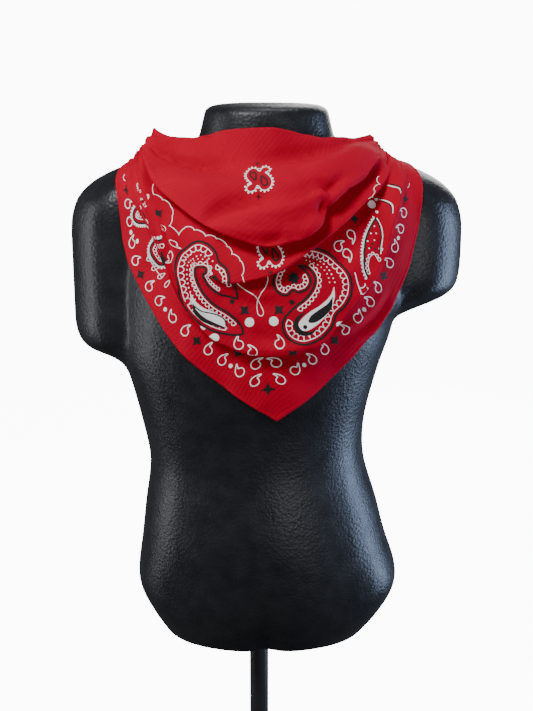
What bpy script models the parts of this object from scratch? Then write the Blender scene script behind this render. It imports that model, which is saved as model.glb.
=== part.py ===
"""A square bandana folded corner to corner and worn as a cowl round the neck of a black torso
display form: the point hangs on the chest and the two ends are knotted at the nape. The form
stands on a pole and a round base plate.

The frame: +Z is up, the front faces -Y, and the origin is the middle of the base's underside.
The cloth is worked out in angles round the neck: 0 is the front, negative is the wearer's
right (-X), and 180 is the nape."""

import math

import bmesh
import bpy
from mathutils import Vector

MM = 0.001  # every size below is in millimetres

# Stand
BASE_RADIUS = 130.0
BASE_HEIGHT = 8.0
BASE_EDGE = 2.0
POLE_RADIUS = 10.0
COLLAR_RADIUS = 23.0
COLLAR_HEIGHT = 14.0
COLLAR_LIP = 4.0  # the straight part at the collar's top
COLLAR_WALL = 2.0  # round the pole
BASE_SIDES = 64
POLE_SIDES = 24
COLLAR_SIDES = 32
SEAT_GAP = 0.3  # between pieces that rest on each other
NECK_AXIS_X = 8.0  # the figure stands with its neck a little to one side of the pole

# Torso form: sections of the trunk and the neck, from the cut thighs up to the neck's cap
# Columns: height, half_width, front, back, shift
TRUNK = (
    (258, 106, 66, 76, -2),
    (280, 121, 78, 92, 0),
    (316, 136, 88, 106, 1),
    (362, 126, 91, 97, -3),
    (405, 118, 88, 84, -6),
    (450, 108, 86, 73, -10),
    (495, 113, 92, 77, -14),
    (540, 124, 101, 87, -14),
    (585, 133, 107, 95, -9),
    (632, 136, 108, 99, -4),
    (673, 136, 101, 100, 0),
    (705, 129, 89, 95, 0),
    (727, 112, 75, 85, 0),
    (743, 90, 62, 75, 0),
    (756, 72, 57, 66, 0),
    (770, 63, 54, 59, 0),
    (788, 59, 52, 55, 0),
)
SECTION_SQUARENESS = 2.25  # 2 is an ellipse
HALVINGS = 26  # of the span in which a ray meets the section
# The rounded end of an arm stub, measured up from its lowest point, and the shoulder above it
# Columns: height, centre, radius
STUB_END = ((0, 126, 16), (6, 133, 34), (16, 138, 46), (34, 139, 51))
SHOULDER = (
    (685, 139, 52),
    (706, 134, 50),
    (722, 124, 46),
    (733, 111, 40),
    (742, 94, 33),
    (750, 76, 25),
    (759, 56, 16),
)
STUB_BOTTOM = {-1: 550.0, 1: 602.0}  # by side: -1 is -X
STUB_BLEND = 14.0  # power of the soft join between trunk and arm: higher is a tighter crease
# Soft relief of the figure: how far the surface swells (or sinks) round a point on it
# Columns: angle, height, swell, spread_angle, spread_height
RELIEF = (
    (-32, 628, 5, 24, 34),
    (32, 628, 5, 24, 34),
    (180, 600, -9, 11, 95),
    (180, 300, -12, 8, 50),
    (-146, 292, 9, 20, 38),
    (146, 292, 9, 20, 38),
    (-135, 655, 5, 20, 36),
    (135, 655, 5, 20, 36),
    (0, 400, 5, 28, 50),
    (0, 262, -9, 10, 24),
    (-46, 318, -4, 12, 26),
    (46, 318, -4, 12, 26),
)
# Where the form's upright edges stand round the neck: closer together at the arm stubs
# Columns: from_angle, to_angle, step
FORM_SPANS = (
    (-130, -75, 5), (-75, -60, 2.5), (-60, -50, 5), (-50, 50, 10),
    (50, 60, 5), (60, 75, 2.5), (75, 130, 5), (130, 230, 10),
)
# Columns: from_height, to_height, steps
FORM_LEVELS = (
    (258, 316, 4), (316, 405, 5), (405, 540, 6), (540, 632, 8),
    (632, 705, 5), (705, 743, 8), (743, 770, 6), (770, 788, 1),
)
CAP_STEPS = ((0.97, 4.0), (0.86, 7.5), (0.55, 9.0))  # share of the section, rise of the cap

# Bandana: one wall through the fold lines of the cowl. Station is the angle round the neck
# that a section belongs to; tuck is how far a fold's hidden layer runs back up behind it.
CLOTH_WALL = 1.6
CLOTH_CLEARANCE = 1.3  # between the form and the cloth's inner face
CLOTH_LEAST = CLOTH_WALL / 2 + CLOTH_CLEARANCE  # from the form to the middle of the wall
SHOULDER_STATION = 90.0  # where the front drape meets the stretches over the shoulders
NAPE_STATION = 168.0
SEAM = 0.2  # degrees between two stretches, about 0.3 mm
# Columns: station, angle, reach, height, tuck
RIM = (
    (-168, -168, 75, 754, 0),
    (-150, -150, 78, 754, 0),
    (-120, -120, 89, 753, 0),
    (-105, -105, 97, 759, 0),
    (-90, -90, 107, 774, 0),
    (-75, -75, 92, 767, 0),
    (-60, -60, 81, 767, 0),
    (-45, -45, 77, 770, 0),
    (-30, -30, 76, 775, 0),
    (0, 0, 76, 778, 0),
    (30, 30, 76, 771, 0),
    (45, 45, 77, 768, 0),
    (60, 60, 79, 768, 0),
    (75, 75, 86, 766, 0),
    (90, 90, 99, 768, 0),
    (105, 105, 94, 757, 0),
    (120, 120, 88, 752, 0),
    (150, 150, 78, 754, 0),
    (168, 168, 75, 754, 0),
)
VALLEY = (
    (-168, -168, 80, 750, 0),
    (-150, -150, 84, 750, 0),
    (-120, -120, 95, 749, 0),
    (-105, -105, 103, 754, 0),
    (-90, -90, 110, 766, 0),
    (-75, -75, 97, 748, 0),
    (-60, -60, 90, 743, 0),
    (-45, -45, 86, 741, 0),
    (-15, -15, 84, 746, 0),
    (0, 0, 84, 750, 0),
    (30, 30, 84, 757, 0),
    (60, 60, 85, 763, 0),
    (75, 75, 90, 762, 0),
    (90, 90, 102, 763, 0),
    (105, 105, 100, 753, 0),
    (120, 120, 94, 749, 0),
    (150, 150, 84, 750, 0),
    (168, 168, 80, 750, 0),
)
COWL = (
    (-168, -168, 85, 746, 0),
    (-150, -150, 90, 746, 0),
    (-120, -120, 103, 746, 0),
    (-90, -90, 118, 757, 0),
    (-75, -75, 117, 749, 2),
    (-60, -60, 121, 739, 9),
    (-45, -45, 128, 721, 16),
    (-30, -30, 129, 703, 24),
    (-15, -15, 129, 689, 26),
    (0, 0, 130, 681, 26),
    (15, 15, 130, 687, 24),
    (30, 30, 120, 719, 20),
    (45, 45, 118, 731, 14),
    (60, 60, 114, 745, 6),
    (75, 75, 109, 753, 0),
    (90, 90, 106, 758, 0),
    (120, 120, 102, 746, 0),
    (150, 150, 90, 746, 0),
    (168, 168, 85, 746, 0),
)
SECOND = (
    (-168, -168, 88, 741, 0),
    (-150, -150, 93, 743, 0),
    (-120, -120, 107, 742, 0),
    (-90, -90, 121, 752, 0),
    (-75, -71, 124, 739, 0),
    (-60, -55, 129, 713, 0),
    (-45, -43, 130, 690, 0),
    (-30, -30, 128, 668, 1),
    (-15, -15, 127, 648, 5),
    (0, 0, 125, 654, 8),
    (15, 15, 124, 671, 8),
    (30, 30, 123, 692, 8),
    (45, 45, 124, 713, 7),
    (60, 60, 123, 729, 4),
    (75, 75, 117, 742, 0),
    (90, 90, 111, 752, 0),
    (120, 120, 107, 742, 0),
    (150, 150, 93, 743, 0),
    (168, 168, 88, 741, 0),
)
THIRD = (
    (-168, -168, 90, 736, 0),
    (-150, -150, 96, 737, 0),
    (-120, -120, 111, 737, 0),
    (-90, -90, 124, 747, 0),
    (-75, -65, 134, 723, 1),
    (-60, -48, 138, 689, 5),
    (-45, -40, 137, 654, 8),
    (-30, -32, 134, 622, 8),
    (-15, -18, 127, 592, 8),
    (0, 0, 123, 581, 8),
    (15, 20, 127, 588, 8),
    (30, 35, 135, 625, 8),
    (45, 48, 141, 660, 8),
    (60, 56, 141, 702, 5),
    (75, 70, 133, 733, 1),
    (90, 90, 119, 746, 0),
    (120, 120, 111, 737, 0),
    (150, 150, 96, 737, 0),
    (168, 168, 90, 736, 0),
)
HEM = (
    (-168, -167, 93, 729, 0),
    (-150, -149, 100, 730, 0),
    (-120, -118, 118, 731, 0),
    (-90, -89, 135, 741, 0),
    (-75, -71, 146, 719, 0),
    (-60, -66, 143, 666, 0),
    (-45, -52, 137, 622, 0),
    (-30, -38, 127, 580, 0),
    (-15, -19, 111, 546, 0),
    (0, 5, 109, 517, 0),
    (15, 27, 110, 545, 0),
    (30, 45, 122, 580, 0),
    (45, 59, 136, 618, 0),
    (60, 68, 147, 664, 0),
    (75, 71, 152, 713, 0),
    (90, 87, 137, 735, 0),
    (120, 118, 118, 730, 0),
    (150, 149, 100, 730, 0),
    (168, 167, 93, 729, 0),
)
CREST_SHARES = (0.3, 0.66)  # of the way from the valley to the cowl's edge
CREST_SWELL = 9.0
CREST_FALL = 60.0  # a cowl that falls less than this swells less
ROLL_SHARE = 0.55  # the point between the rim and the valley
TIER_SHARES = (0.33, 0.67)  # middle points down a long tier
FOLD_ROUNDING = 6.0  # how far above its edge a fold starts to turn
FOLD_DEPTH = 6.0  # from a fold's edge in to its hidden layer
DEPTH_PER_TUCK = 0.2  # a deeper tuck stands further off
FLAT_STEP = 3.0  # between the points that stand where a fold has faded out
FOLD_GAP = 5.0  # from that layer in to the next tier
FULL_TUCK = 7.0  # a tuck this deep is a true fold; a shallower one fades to flat cloth
FULL_FALL = 16.0  # so does one with less cloth than this below it
FRONT_STEPS = 36
WRAP_STEPS = 9

# Knot and tails at the nape
KNOT_HALF = (19.8, 13.0, 16.0)
KNOT_CENTRE = (NECK_AXIS_X, 95.0, 741.0)
KNOT_GROOVE = 1.6
KNOT_LEVELS = 12
KNOT_SIDES = 20
TAIL_LENGTH = 92.0
TAIL_ROOT = (8.0, 90.0, 724.1)
TAIL_SPLAY = 34.0
# Columns: share, half_width, lift
TAIL = (
    (0.0, 6, 5),
    (0.15, 9, 8),
    (0.45, 19, 5),
    (0.75, 21, 3),
    (1.0, 3, 2),
)
TAIL_WAVE = 0.15  # of the half width
TAIL_SLANT = 0.3
TAIL_ROWS = 12
TAIL_STRIPS = 8
TAIL_LEAST = CLOTH_WALL / 2 + 0.6  # from the form to the middle of a tail's wall

COLOURS = {
    "red_cotton": ((0.80, 0.008, 0.030), 0.85, 0.0),
    "black_cast": ((0.018, 0.019, 0.022), 0.42, 0.3),
    "black_steel": ((0.022, 0.022, 0.024), 0.38, 0.6),
}


def smooth_curve(rows):
    """A monotone cubic through every column of a table, over its first column."""
    xs = [row[0] for row in rows]
    steps = [b - a for a, b in zip(xs, xs[1:])]
    columns = []
    for column in range(1, len(rows[0])):
        ys = [row[column] for row in rows]
        slopes = [(b - a) / step for a, b, step in zip(ys, ys[1:], steps)]
        tangents = [slopes[0]]
        for before, after, left, right in zip(slopes, slopes[1:], steps, steps[1:]):
            if before * after <= 0:
                tangents.append(0.0)
            else:
                wide, narrow = 2 * right + left, right + 2 * left
                tangents.append((wide + narrow) / (wide / before + narrow / after))
        tangents.append(slopes[-1])
        columns.append((ys, tangents))

    def value(x):
        x = min(max(x, xs[0]), xs[-1])
        k = 0
        while k < len(steps) - 1 and x > xs[k + 1]:
            k += 1
        t = (x - xs[k]) / steps[k]
        first, lead = 2 * t**3 - 3 * t**2 + 1, (t**3 - 2 * t**2 + t) * steps[k]
        second, trail = 3 * t**2 - 2 * t**3, (t**3 - t**2) * steps[k]
        return [first * ys[k] + lead * ts[k] + second * ys[k + 1] + trail * ts[k + 1]
                for ys, ts in columns]

    return value


def on_circle(angle, reach, height, axis_x=NECK_AXIS_X):
    """A point by its angle round an upright axis, its distance from it and its height."""
    turn = math.radians(angle)
    return Vector((axis_x + reach * math.sin(turn), -reach * math.cos(turn), height))


trunk_at = smooth_curve(TRUNK)
stub_end_at = smooth_curve(STUB_END)
shoulder_at = smooth_curve(SHOULDER)


def trunk_radius(angle, height):
    """Where a ray from the axis leaves the trunk's section, a superellipse moved sideways."""
    side, ahead = math.sin(angle), math.cos(angle)
    half_width, front, back, shift = trunk_at(height)
    depth = front if ahead > 0 else back
    low, high = 10.0, 400.0
    for _ in range(HALVINGS):
        middle = (low + high) / 2
        spread = abs((middle * side - shift) / half_width) ** SECTION_SQUARENESS
        if spread + abs(middle * ahead / depth) ** SECTION_SQUARENESS > 1:
            high = middle
        else:
            low = middle
    return low


def stub_radius(angle, height):
    """Where the ray leaves the arm stub, a round section beside the trunk, or 0 without one."""
    side = -1 if math.sin(angle) < 0 else 1
    bottom = STUB_BOTTOM[side]
    if height < bottom or height > SHOULDER[-1][0]:
        return 0.0
    if height < bottom + STUB_END[-1][0]:
        centre, radius = stub_end_at(height - bottom)
    elif height < SHOULDER[0][0]:
        centre, radius = STUB_END[-1][1:]
    else:
        centre, radius = shoulder_at(height)
    across, along = abs(math.sin(angle)), abs(math.cos(angle))
    inside = radius**2 - (centre * along) ** 2
    return centre * across + math.sqrt(max(inside, 0.0))


def form_radius(angle, height):
    """Distance from the axis to the form's surface; angle in radians, 0 at the front."""
    trunk, stub = trunk_radius(angle, height), stub_radius(angle, height)
    most = max(trunk, stub)
    blended = most * ((trunk / most) ** STUB_BLEND + (stub / most) ** STUB_BLEND) ** (1 / STUB_BLEND)
    for at, level, swell, spread_angle, spread_height in RELIEF:
        turn = (math.degrees(angle) - at + 180) % 360 - 180
        blended += swell * math.exp(-(turn / spread_angle) ** 2 - ((height - level) / spread_height) ** 2)
    return blended


def clear_of_form(point, clearance):
    """The point moved straight out of the form until it is at least clearance from it."""
    for _ in range(4):
        beside = point.x - NECK_AXIS_X
        angle, reach = math.atan2(beside, -point.y), math.hypot(beside, point.y)
        turn = 1 / reach
        radius = form_radius(angle, point.z)
        slope = (form_radius(angle, point.z + 1) - form_radius(angle, point.z - 1)) / 2
        lean = (form_radius(angle + turn, point.z) - form_radius(angle - turn, point.z)) / 2
        radial = Vector((math.sin(angle), -math.cos(angle), 0))
        tangent = Vector((math.cos(angle), math.sin(angle), 0))
        outward = radial - tangent * lean - Vector((0, 0, slope))
        short = clearance - (reach - radius) / outward.length
        if short <= 0:
            break
        point = point + outward.normalized() * short
    return point


def material(name):
    """A Principled material with the finish's colour, roughness and metallic value."""
    found = bpy.data.materials.get(name)
    if found:
        return found
    colour, roughness, metallic = COLOURS[name]
    made = bpy.data.materials.new(name)
    made.use_nodes = True
    shader = made.node_tree.nodes["Principled BSDF"]
    shader.inputs["Base Color"].default_value = (*colour, 1)
    shader.inputs["Roughness"].default_value = roughness
    shader.inputs["Metallic"].default_value = metallic
    return made


def add_object(name, mesh_points, faces, finish):
    """One closed piece from points in millimetres."""
    mesh = bpy.data.meshes.new(name)
    mesh.from_pydata([tuple(c * MM for c in p) for p in mesh_points], [], faces)
    build = bmesh.new()
    build.from_mesh(mesh)
    bmesh.ops.recalc_face_normals(build, faces=build.faces)
    build.to_mesh(mesh)
    build.free()
    mesh.shade_smooth()
    mesh.materials.append(material(finish))
    piece = bpy.data.objects.new(name, mesh)
    bpy.context.scene.collection.objects.link(piece)
    return piece


def tube_of_rings(name, rings, finish):
    """A closed solid through rings of equal count, with a fan over each end."""
    count = len(rings[0])
    points = [p for ring in rings for p in ring]
    faces = []
    for level in range(len(rings) - 1):
        for k in range(count):
            here, after = level * count + k, level * count + (k + 1) % count
            faces.append((here, after, after + count, here + count))
    for ring_start, ring in ((0, rings[0]), ((len(rings) - 1) * count, rings[-1])):
        points.append(sum((Vector(p) for p in ring), Vector()) / count)
        hub = len(points) - 1
        faces += [(hub, ring_start + k, ring_start + (k + 1) % count) for k in range(count)]
    return add_object(name, points, faces, finish)


def lathe(name, profile, sides, finish):
    """A turned piece from (radius, height) pairs, bottom to top."""
    rings = [[on_circle(360 * k / sides, radius, height, 0) for k in range(sides)]
             for radius, height in profile]
    return tube_of_rings(name, rings, finish)


def wall(name, grid, finish, before=None, after=None):
    """A cloth wall: a grid of middle points, thickened by half the wall on each side. The
    grids just before and after it, where given, steer the thickness so that stretches meet
    flush."""
    rows, columns = len(grid), len(grid[0])
    before = before or [grid[max(i - 1, 0)] for i in range(rows)]
    after = after or [grid[min(i + 1, rows - 1)] for i in range(rows)]

    def half_wall(i, j):
        along = after[i][j] - before[i][j]
        across = grid[i][min(j + 1, columns - 1)] - grid[i][max(j - 1, 0)]
        return along.cross(across).normalized() * (CLOTH_WALL / 2)

    outward = [[half_wall(i, j) for j in range(columns)] for i in range(rows)]
    points = [grid[i][j] + outward[i][j] for i in range(rows) for j in range(columns)]
    points += [grid[i][j] - outward[i][j] for i in range(rows) for j in range(columns)]
    under = rows * columns
    faces = []
    for i in range(rows - 1):
        for j in range(columns - 1):
            a, b = i * columns + j, i * columns + j + 1
            c, d = b + columns, a + columns
            faces += [(a, b, c, d), (under + a, under + d, under + c, under + b)]
    border = [j for j in range(columns)]
    border += [i * columns + columns - 1 for i in range(1, rows)]
    border += [(rows - 1) * columns + j for j in range(columns - 2, -1, -1)]
    border += [i * columns for i in range(rows - 2, 0, -1)]
    for k, here in enumerate(border):
        after = border[(k + 1) % len(border)]
        faces.append((here, after, under + after, under + here))
    return add_object(name, points, faces, finish)


def build_form():
    """The torso: level sections from the cut thighs to the neck, closed by rounded caps."""
    levels = [low + (high - low) * k / count for low, high, count in FORM_LEVELS for k in range(count)]
    levels.append(FORM_LEVELS[-1][1])
    turns = [low + step * k for low, high, step in FORM_SPANS for k in range(round((high - low) / step))]

    def ring(height, share=1.0, rise=0.0):
        return [on_circle(turn, form_radius(math.radians(turn), height) * share, height + rise)
                for turn in turns]

    rings = [ring(levels[0], share, -rise) for share, rise in reversed(CAP_STEPS)]
    rings += [ring(height) for height in levels]
    rings += [ring(levels[-1], share, rise) for share, rise in CAP_STEPS]
    tube_of_rings("form_torso", rings, "black_cast")
    return levels[0] - CAP_STEPS[-1][1]


def build_stand(form_bottom):
    """The base plate, the pole and the collar under the form, each resting on the one below."""
    lathe("form_base", (
        (BASE_RADIUS - BASE_EDGE, 0),
        (BASE_RADIUS, BASE_EDGE),
        (BASE_RADIUS, BASE_HEIGHT - BASE_EDGE),
        (BASE_RADIUS - BASE_EDGE, BASE_HEIGHT),
    ), BASE_SIDES, "black_steel")
    collar_bottom = form_bottom - SEAT_GAP - COLLAR_HEIGHT
    lathe("form_pole", (
        (POLE_RADIUS, BASE_HEIGHT + SEAT_GAP),
        (POLE_RADIUS, collar_bottom - SEAT_GAP),
    ), POLE_SIDES, "black_steel")
    lathe("form_collar", (
        (POLE_RADIUS + COLLAR_WALL, collar_bottom),
        (POLE_RADIUS + 1.5 * COLLAR_WALL, collar_bottom + COLLAR_HEIGHT / 2),
        (COLLAR_RADIUS, collar_bottom + COLLAR_HEIGHT - COLLAR_LIP),
        (COLLAR_RADIUS, collar_bottom + COLLAR_HEIGHT),
    ), COLLAR_SIDES, "black_steel")


fold_lines = {name: smooth_curve(rows) for name, rows in (
    ("rim", RIM), ("valley", VALLEY), ("cowl", COWL), ("second", SECOND), ("third", THIRD))}
hem_halves = (smooth_curve([row for row in HEM if row[0] <= 0]),
              smooth_curve([row for row in HEM if row[0] >= 0]))


def line_point(name, station):
    """A fold line's point and its tuck at a station."""
    curve = fold_lines[name] if name != "hem" else hem_halves[station > 0]
    angle, reach, height, tuck = curve(station)
    return on_circle(angle, reach, height), tuck


def fold(name, station, before, after):
    """The middle points that carry the cloth down to a fold's edge, round it and up to its
    hidden root behind the falling layer, with room kept for the root between that layer and
    the form. A shallow tuck fades to flat cloth."""
    edge, tuck = line_point(name, station)
    along = (line_point(name, station + 1)[0] - line_point(name, station - 1)[0]).normalized()
    depth = FOLD_DEPTH + DEPTH_PER_TUCK * tuck
    share = min(tuck / FULL_TUCK, 1.0) * min((after - edge).length / FULL_FALL, 1.0)
    share = share * share * (3 - 2 * share)
    edge = clear_of_form(edge, CLOTH_LEAST + (depth + FOLD_GAP) * share)
    drop = (before - edge).normalized()
    back_up = (drop - along * drop.dot(along)).normalized()
    arrive = edge + drop.lerp(back_up, share / 2) * min(FOLD_ROUNDING, 0.3 * (before - edge).length)
    inward = along.cross(back_up)
    if inward.dot(Vector((NECK_AXIS_X - edge.x, -edge.y, 0))) < 0:
        inward = -inward
    leave = (after - edge).normalized() * min(FLAT_STEP, 0.12 * (after - edge).length)
    folded = (inward * (0.45 * depth) + back_up * (0.1 * tuck),
              inward * depth + back_up * (0.7 * tuck),
              inward * (depth + FOLD_GAP) + back_up * (0.6 * tuck))
    flat = (leave, leave * 2, leave * 3)
    turned = [edge + a * share + b * (1 - share) for a, b in zip(folded, flat)]
    return [arrive, edge, *turned]


def section(station):
    """The cloth's middle line at a station, from the rim down to the hem."""
    rim, _ = line_point("rim", station)
    valley, _ = line_point("valley", station)
    cowl, _ = line_point("cowl", station)
    second, _ = line_point("second", station)
    third, third_tuck = line_point("third", station)
    hem, _ = line_point("hem", station)
    fall = cowl - valley
    swell = fall.cross(Vector((-valley.y, valley.x - NECK_AXIS_X, 0))).normalized()
    if swell.z < 0:
        swell = -swell
    amount = CREST_SWELL * min(1.0, fall.length / CREST_FALL)
    crests = [valley + fall * share + swell * amount for share in CREST_SHARES]
    points = [rim, rim.lerp(valley, ROLL_SHARE), valley, *crests]
    points += fold("cowl", station, crests[-1], second)
    points += fold("second", station, points[-1], third)
    tier, room = points[-1], (FOLD_DEPTH + FOLD_GAP) * min(third_tuck / FULL_TUCK, 1)
    points += [clear_of_form(tier.lerp(third, share), CLOTH_LEAST + room * share) for share in TIER_SHARES]
    points += fold("third", station, points[-1], hem)
    points += [points[-1].lerp(hem, share) for share in TIER_SHARES] + [hem]
    return points


def rounded(points):
    """The same line with each corner cut once, its ends kept."""
    line = [points[0]]
    for a, b in zip(points, points[1:]):
        line += [a.lerp(b, 0.25), a.lerp(b, 0.75)]
    line.append(points[-1])
    return line


def stretch(name, start, end, steps, finish=list):
    """One stretch of the bandana between two stations; finish may round its sections."""
    stations = [start + (end - start) * step / steps for step in range(steps + 1)]

    def grid(shift):
        return [[clear_of_form(p, CLOTH_LEAST) for p in finish(section(at + shift))] for at in stations]

    wall(name, grid(0), "red_cotton", grid(-SEAM), grid(SEAM))


def build_knot():
    """The knot: a rounded lump of folded cloth, pinched by the band that passes over it."""
    rings = []
    for level in range(1, KNOT_LEVELS):
        tilt = math.pi * level / KNOT_LEVELS - math.pi / 2
        ring = []
        for k in range(KNOT_SIDES):
            turn = 2 * math.pi * k / KNOT_SIDES
            across = math.cos(tilt) * math.cos(turn)
            ahead = math.cos(tilt) * math.sin(turn)
            up = math.sin(tilt)
            pinch = KNOT_GROOVE * math.cos(2 * math.pi * (across + 0.3 * up))
            ring.append(Vector((
                KNOT_CENTRE[0] + across * (KNOT_HALF[0] + pinch),
                KNOT_CENTRE[1] + ahead * (KNOT_HALF[1] + pinch),
                KNOT_CENTRE[2] + up * (KNOT_HALF[2] + pinch),
            )))
        rings.append(ring)
    tube_of_rings("knot", rings, "red_cotton")


def build_tail(name, side):
    """A tail: a short pleated wall that widens below the knot and ends in the cloth's corner."""
    at = smooth_curve(TAIL)
    grid = []
    for row in range(TAIL_ROWS + 1):
        share = row / TAIL_ROWS
        half_width, lift = at(share)
        centre_x = side * (TAIL_ROOT[0] + TAIL_SPLAY * share)
        height = TAIL_ROOT[2] - TAIL_LENGTH * share
        line = []
        for column in range(TAIL_STRIPS + 1):
            across = 2 * column / TAIL_STRIPS - 1
            x = centre_x + across * half_width
            z = height + across * half_width * TAIL_SLANT * side * min(1.0, 4 * share)
            turn = math.atan2(x, TAIL_ROOT[1])
            wave = TAIL_WAVE * half_width * math.cos(math.pi * across * 1.5)
            reach = form_radius(math.pi - turn, z) + lift + wave
            y = max(math.sqrt(reach**2 - x**2), TAIL_ROOT[1] * (1 - share))
            line.append(clear_of_form(Vector((NECK_AXIS_X + x, y, z)), TAIL_LEAST))
        grid.append(line)
    wall(name, grid, "red_cotton")


for old in list(bpy.data.objects):
    bpy.data.objects.remove(old)
build_stand(build_form())
stretch("front_drape", -SHOULDER_STATION, SHOULDER_STATION, FRONT_STEPS, rounded)
stretch("wrap_right", -NAPE_STATION, -SHOULDER_STATION - SEAM, WRAP_STEPS)
stretch("wrap_left", SHOULDER_STATION + SEAM, NAPE_STATION, WRAP_STEPS)
build_knot()
build_tail("tail_right", -1)
build_tail("tail_left", 1)
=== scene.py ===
import math

import bmesh
import bpy
import numpy as np
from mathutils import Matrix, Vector, noise
from mathutils.bvhtree import BVHTree


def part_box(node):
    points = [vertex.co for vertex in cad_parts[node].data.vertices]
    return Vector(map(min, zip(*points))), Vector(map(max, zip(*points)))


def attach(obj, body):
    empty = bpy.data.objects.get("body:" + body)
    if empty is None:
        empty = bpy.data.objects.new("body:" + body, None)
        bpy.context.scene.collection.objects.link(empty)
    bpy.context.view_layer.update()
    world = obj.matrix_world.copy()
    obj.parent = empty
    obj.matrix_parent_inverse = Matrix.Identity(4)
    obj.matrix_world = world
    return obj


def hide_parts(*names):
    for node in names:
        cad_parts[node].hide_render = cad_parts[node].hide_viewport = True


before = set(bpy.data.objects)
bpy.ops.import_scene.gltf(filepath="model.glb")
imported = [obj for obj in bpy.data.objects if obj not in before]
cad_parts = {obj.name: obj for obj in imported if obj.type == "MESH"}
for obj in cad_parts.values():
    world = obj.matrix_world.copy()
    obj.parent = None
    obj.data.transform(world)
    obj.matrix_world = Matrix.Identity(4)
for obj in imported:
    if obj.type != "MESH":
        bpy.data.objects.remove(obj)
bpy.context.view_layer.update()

bpy.ops.object.select_all(action="DESELECT")

# ---------------------------------------------------------------- Camera, floor and light
# A seamless pale sweep under soft studio light. The camera stands a little above the bandana,
# straight in front of the form.

VIEW_TARGET = Vector((0.008, 0, 0.550))
VIEW_DISTANCE = 1.090
VIEW_ELEVATION = math.radians(15)
away = Vector((0, -math.cos(VIEW_ELEVATION), math.sin(VIEW_ELEVATION)))
bpy.ops.object.camera_add(location=VIEW_TARGET + away * VIEW_DISTANCE)
camera = bpy.context.object
camera.rotation_euler = (-away).to_track_quat("-Z", "Y").to_euler()
camera.data.lens = 55
camera.data.sensor_width = 36
bpy.context.scene.camera = camera


def linear(code):
    """An sRGB hex colour as linear RGBA."""
    parts = [int(code[k:k + 2], 16) / 255 for k in (1, 3, 5)]
    return (*[c / 12.92 if c <= 0.04045 else ((c + 0.055) / 1.055) ** 2.4 for c in parts], 1)


def new_material(name, colour, roughness, metallic=0.0):
    """A named finish: its material, its nodes' tree and its Principled shader."""
    made = bpy.data.materials.new(name)
    made.use_nodes = True
    shader = made.node_tree.nodes["Principled BSDF"]
    shader.inputs["Base Color"].default_value = linear(colour)
    shader.inputs["Roughness"].default_value = roughness
    shader.inputs["Metallic"].default_value = metallic
    return made, made.node_tree, shader


def add_node(tree, kind, settings=None, links=None, **values):
    """One node with its settings, its sockets' values and the links into its sockets."""
    node = tree.nodes.new("ShaderNode" + kind)
    for key, value in (settings or {}).items():
        setattr(node, key, value)
    for key, value in values.items():
        node.inputs[key.replace("_", " ")].default_value = value
    for key, output in (links or {}).items():
        tree.links.new(output, node.inputs[key])
    return node


# The sweep: a turned cyclorama with a rounded foot, lit from its own side, so that it is white and
# throws no light up on the cloth.
SWEEP_RADIUS, SWEEP_HEIGHT, SWEEP_FOOT = 4.0, 3.0, 1.0
bpy.ops.mesh.primitive_circle_add(vertices=96, radius=SWEEP_RADIUS, fill_type="NGON", location=(0, 0, 0))
sweep = bpy.context.object
sweep.name = "studio_sweep"
bpy.ops.object.mode_set(mode="EDIT")
bpy.ops.mesh.extrude_region_move(TRANSFORM_OT_translate={"value": (0, 0, SWEEP_HEIGHT)})
bpy.ops.mesh.delete(type="ONLY_FACE")
bpy.ops.object.mode_set(mode="OBJECT")
foot = sweep.modifiers.new("Bevel", "BEVEL")
foot.width = SWEEP_FOOT
foot.segments = 12
bpy.ops.object.modifier_apply(modifier="Bevel")
bpy.ops.object.shade_smooth()
sweep.visible_diffuse = False
sweep.visible_glossy = False
sweep.visible_shadow = False
paper, tree, shader = new_material("pale_paper", "#F6F6F6", 0.9)
shader.inputs["Emission Color"].default_value = linear("#FFFFFF")
shader.inputs["Emission Strength"].default_value = 11.0
sweep.data.materials.append(paper)

world = bpy.context.scene.world or bpy.data.worlds.new("studio")
bpy.context.scene.world = world
world.use_nodes = True
world.node_tree.nodes["Background"].inputs["Color"].default_value = (1, 1, 1, 1)
world.node_tree.nodes["Background"].inputs["Strength"].default_value = 0.08

# Soft boxes and strips. Columns: place, width, height, watts, colour
for place, width, height, watts, colour in (
    ((-0.8, -1.3, 2.0), 0.5, 0.5, 35, "#FFFFFF"),
    ((0.8, -1.8, 0.5), 0.7, 0.7, 8, "#FFFFFF"),
    ((-1.5, -0.2, 0.55), 0.35, 1.4, 11, "#FFFFFF"),
    ((1.4, 0.1, 0.4), 0.5, 1.2, 26, "#C4DAFF"),
    ((0.1, 0.2, 2.2), 0.6, 0.6, 8, "#FFFFFF"),
    ((0.5, 1.5, 1.2), 0.9, 0.9, 14, "#FFFFFF"),
):
    bpy.ops.object.light_add(type="AREA", location=place)
    lamp = bpy.context.object
    lamp.data.shape = "RECTANGLE"
    lamp.data.size = width
    lamp.data.size_y = height
    lamp.data.energy = watts
    lamp.data.color = linear(colour)[:3]
    lamp.rotation_euler = (Vector((0, 0, 0.6)) - Vector(place)).to_track_quat("-Z", "Y").to_euler()

# ---------------------------------------------------------------- Torso form
# The limbless torso is one hollow iron casting, blackened, with a fine pebbled sand-cast skin. The
# stand's collar and pole carry it from below, and the bandana rests on its neck and chest.


def dress(piece, material, slot, *nodes):
    """A finished piece: it takes its finish, stands for any CAD nodes named and rides with the part."""
    piece.data.materials.clear()
    piece.data.materials.append(material)
    if nodes:
        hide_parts(*nodes)
    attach(piece, "root")


def linked(name, mesh):
    """A new object with a mesh, placed in the scene."""
    piece = bpy.data.objects.new(name, mesh)
    bpy.context.scene.collection.objects.link(piece)
    return piece


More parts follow.
